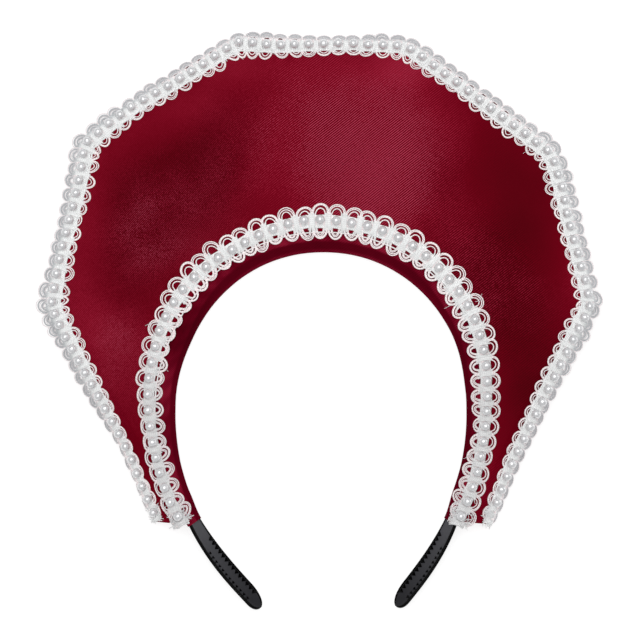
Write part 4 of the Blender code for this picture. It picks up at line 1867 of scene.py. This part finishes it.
    def dress(self) -> None:
        """Builds the band and its teeth and fixes them on."""
        plastic = PlasticFinish().make()
        wear(self.build(plastic), "headband", "headband")
        teeth = self.tooth_rows(plastic)
        for polygon in teeth.data.polygons:
            polygon.use_smooth = False
        wear(teeth, "headband")


@dataclass(frozen=True)
class Lamp:
    """A square soft lamp that faces the headpiece."""

    name: str
    place: tuple[float, float, float]
    size: float
    power: float

    def build(self) -> None:
        """Hangs the lamp."""
        light = bpy.data.lights.new(self.name, "AREA")
        light.size = self.size
        light.energy = self.power
        made = in_scene(self.name, light)
        made.location = self.place
        made.rotation_euler = (-Vector(self.place)).to_track_quat("-Z", "Y").to_euler()


@dataclass
class Studio:
    """A white paper floor in a pale surround, with three soft lamps.

    The large key lamp hangs high over the crown's top, a weaker one over its left side, and a small one stands
    low on its right.
    """

    camera_height: float = 0.95
    frame_width: float = 0.2688
    frame_level: float = 0.010
    sensor: float = 36.0
    aim: tuple[float, float] = (0.00008, -0.00025)
    floor_half: float = 2.0
    floor_drop: float = 0.0002
    surround: float = 0.38
    lamps: tuple[Lamp, ...] = (
        Lamp("key", (0.0, 0.26, 1.05), 0.85, 7.0),
        Lamp("overhead", (-0.25, -0.1, 1.2), 0.9, 2.0),
        Lamp("side", (1.15, 0.35, 0.2), 0.5, 1.2),
    )

    def floor(self) -> None:
        """Lays the paper under the headpiece."""
        signs = ((-1, -1), (1, -1), (1, 1), (-1, 1))
        corners = [(x * self.floor_half, y * self.floor_half, -self.floor_drop) for x, y in signs]
        made = plain_object("floor", corners, faces=[(0, 1, 2, 3)])
        made.data.materials.append(FloorFinish().make())

    def camera(self) -> None:
        """Sets the camera straight above the headpiece, as in the photograph."""
        lens = bpy.data.cameras.new("camera")
        lens.sensor_width = self.sensor
        lens.lens = self.sensor * self.camera_height / self.frame_width
        lens.clip_end = 20.0
        made = in_scene("camera", lens)
        made.location = (*self.aim, self.frame_level + self.camera_height)
        bpy.context.scene.camera = made

    def dress(self) -> None:
        """Sets up floor, lamps, surround and camera."""
        scene = bpy.context.scene
        scene.view_settings.view_transform = "Standard"
        scene.world = bpy.data.worlds.new("studio")
        scene.world.use_nodes = True
        background = scene.world.node_tree.nodes["Background"]
        background.inputs["Color"].default_value = (1.0, 1.0, 1.0, 1.0)
        background.inputs["Strength"].default_value = self.surround
        self.floor()
        for lamp in self.lamps:
            lamp.build()
        self.camera()


def outer_braid() -> PearlBraid:
    """Sets out the braid that hangs half over the panel's outer edge.

    Returns:
        The braid.
    """

    def widths(run: Array) -> tuple[Array, Array]:
        """The widths over the panel and outside."""
        tables = (("inner", INNER_GATHER), ("outer", OUTER_GATHER))
        return tuple(outer_row(column, run) + np.interp(run, *zip(*gather)) for column, gather in tables)

    def ground(run: Array, out: Array) -> Array:
        """Finds what the braid lies on: the panel, and past its edge the fall of the loops.

        Args:
            run: The run along the braid.
            out: The distance outside its line.

        Returns:
            The height off the floor.
        """
        edge = outer_row("edge_out", run)
        height = (OUTER_PATH.at(run) + OUTER_PATH.outward(run, TURN_SPAN) * out[..., None])[..., 1]
        fall = outer_row("loop_fall", run) * smooth((out - edge) / 3.6)
        return PANEL.front_at(height, run, edge - np.minimum(out, edge)) - fall

    return PearlBraid(
        "outer_braid",
        "braid_outer",
        OUTER_PATH,
        knots=OUTER_KNOTS,
        wander=OUTER_WANDER,
        widths=widths,
        ground=ground,
        outward=EDGE_OUTWARD,
        inward=EDGE_INWARD,
        seed=3,
        frays=(2.1, 4.2),
        skipped=1,
    )


# How far short of the sleeve's left and right ends the arch braid stops.
ARCH_TRIMS = (2.6, 1.0)


def arch_braid() -> PearlBraid:
    """Sets out the braid over the joint of panel and sleeve, along the arch.

    Returns:
        The braid.
    """
    stretch = BAND_PATH.cut(SLEEVE_RUNS[0] + ARCH_TRIMS[0], SLEEVE_RUNS[1] - ARCH_TRIMS[1])
    share = np.linspace(0, 1, 97)
    runs = share * stretch.length
    set_back = inner_row("set_back", share)[:, None]
    line = Path(stretch.at(runs) + stretch.outward(runs, TURN_SPAN) * set_back)

    def widths(run: Array) -> tuple[Array, Array]:
        """The widths over the sleeve and over the panel."""
        return tuple(inner_row(column, run / line.length) for column in ("inner", "outer"))

    def ground(run: Array, out: Array) -> Array:
        """The height of the panel's front under the braid."""
        height = (line.at(run) + line.outward(run, TURN_SPAN) * out[..., None])[..., 1]
        return FRONT - PANEL.lean(height)

    return PearlBraid(
        "arch_braid",
        "braid_inner",
        line,
        knots=ARCH_KNOTS,
        wander=ARCH_WANDER,
        widths=widths,
        ground=ground,
        outward=ARCH_OUTWARD,
        inward=ARCH_INWARD,
        seed=8,
    )


def main() -> None:
    """Builds the studio and every piece of the headpiece, in order."""
    logging.basicConfig(level=logging.INFO, format="%(name)s %(message)s")
    Studio().dress()
    PANEL.dress()
    BandSleeve().dress()
    BareBand().dress()
    pearl = PearlFinish("imitation pearl").make()
    # How much painted shade each braid takes towards its feet.
    for braid, edge, painted_foot_shade in ((outer_braid(), "edge", 0.06), (arch_braid(), "arch", 0.24)):
        thread = ThreadFinish(f"white gimp cord, {edge}", painted_foot_shade=painted_foot_shade)
        # The wraps' shade and free greys are painted shade, and they have a little painted glow.
        wrap = ThreadFinish(
            f"white wrapping thread, {edge}",
            light="#FFFFFF",
            shade="#D8DADA",
            free="#C4C7C9",
            lay=0.8,
            painted_glow=0.05,
            painted_foot_shade=painted_foot_shade,
        )
        braid.dress(thread.make(), wrap.make(), pearl)


if __name__ == "__main__":
    main()
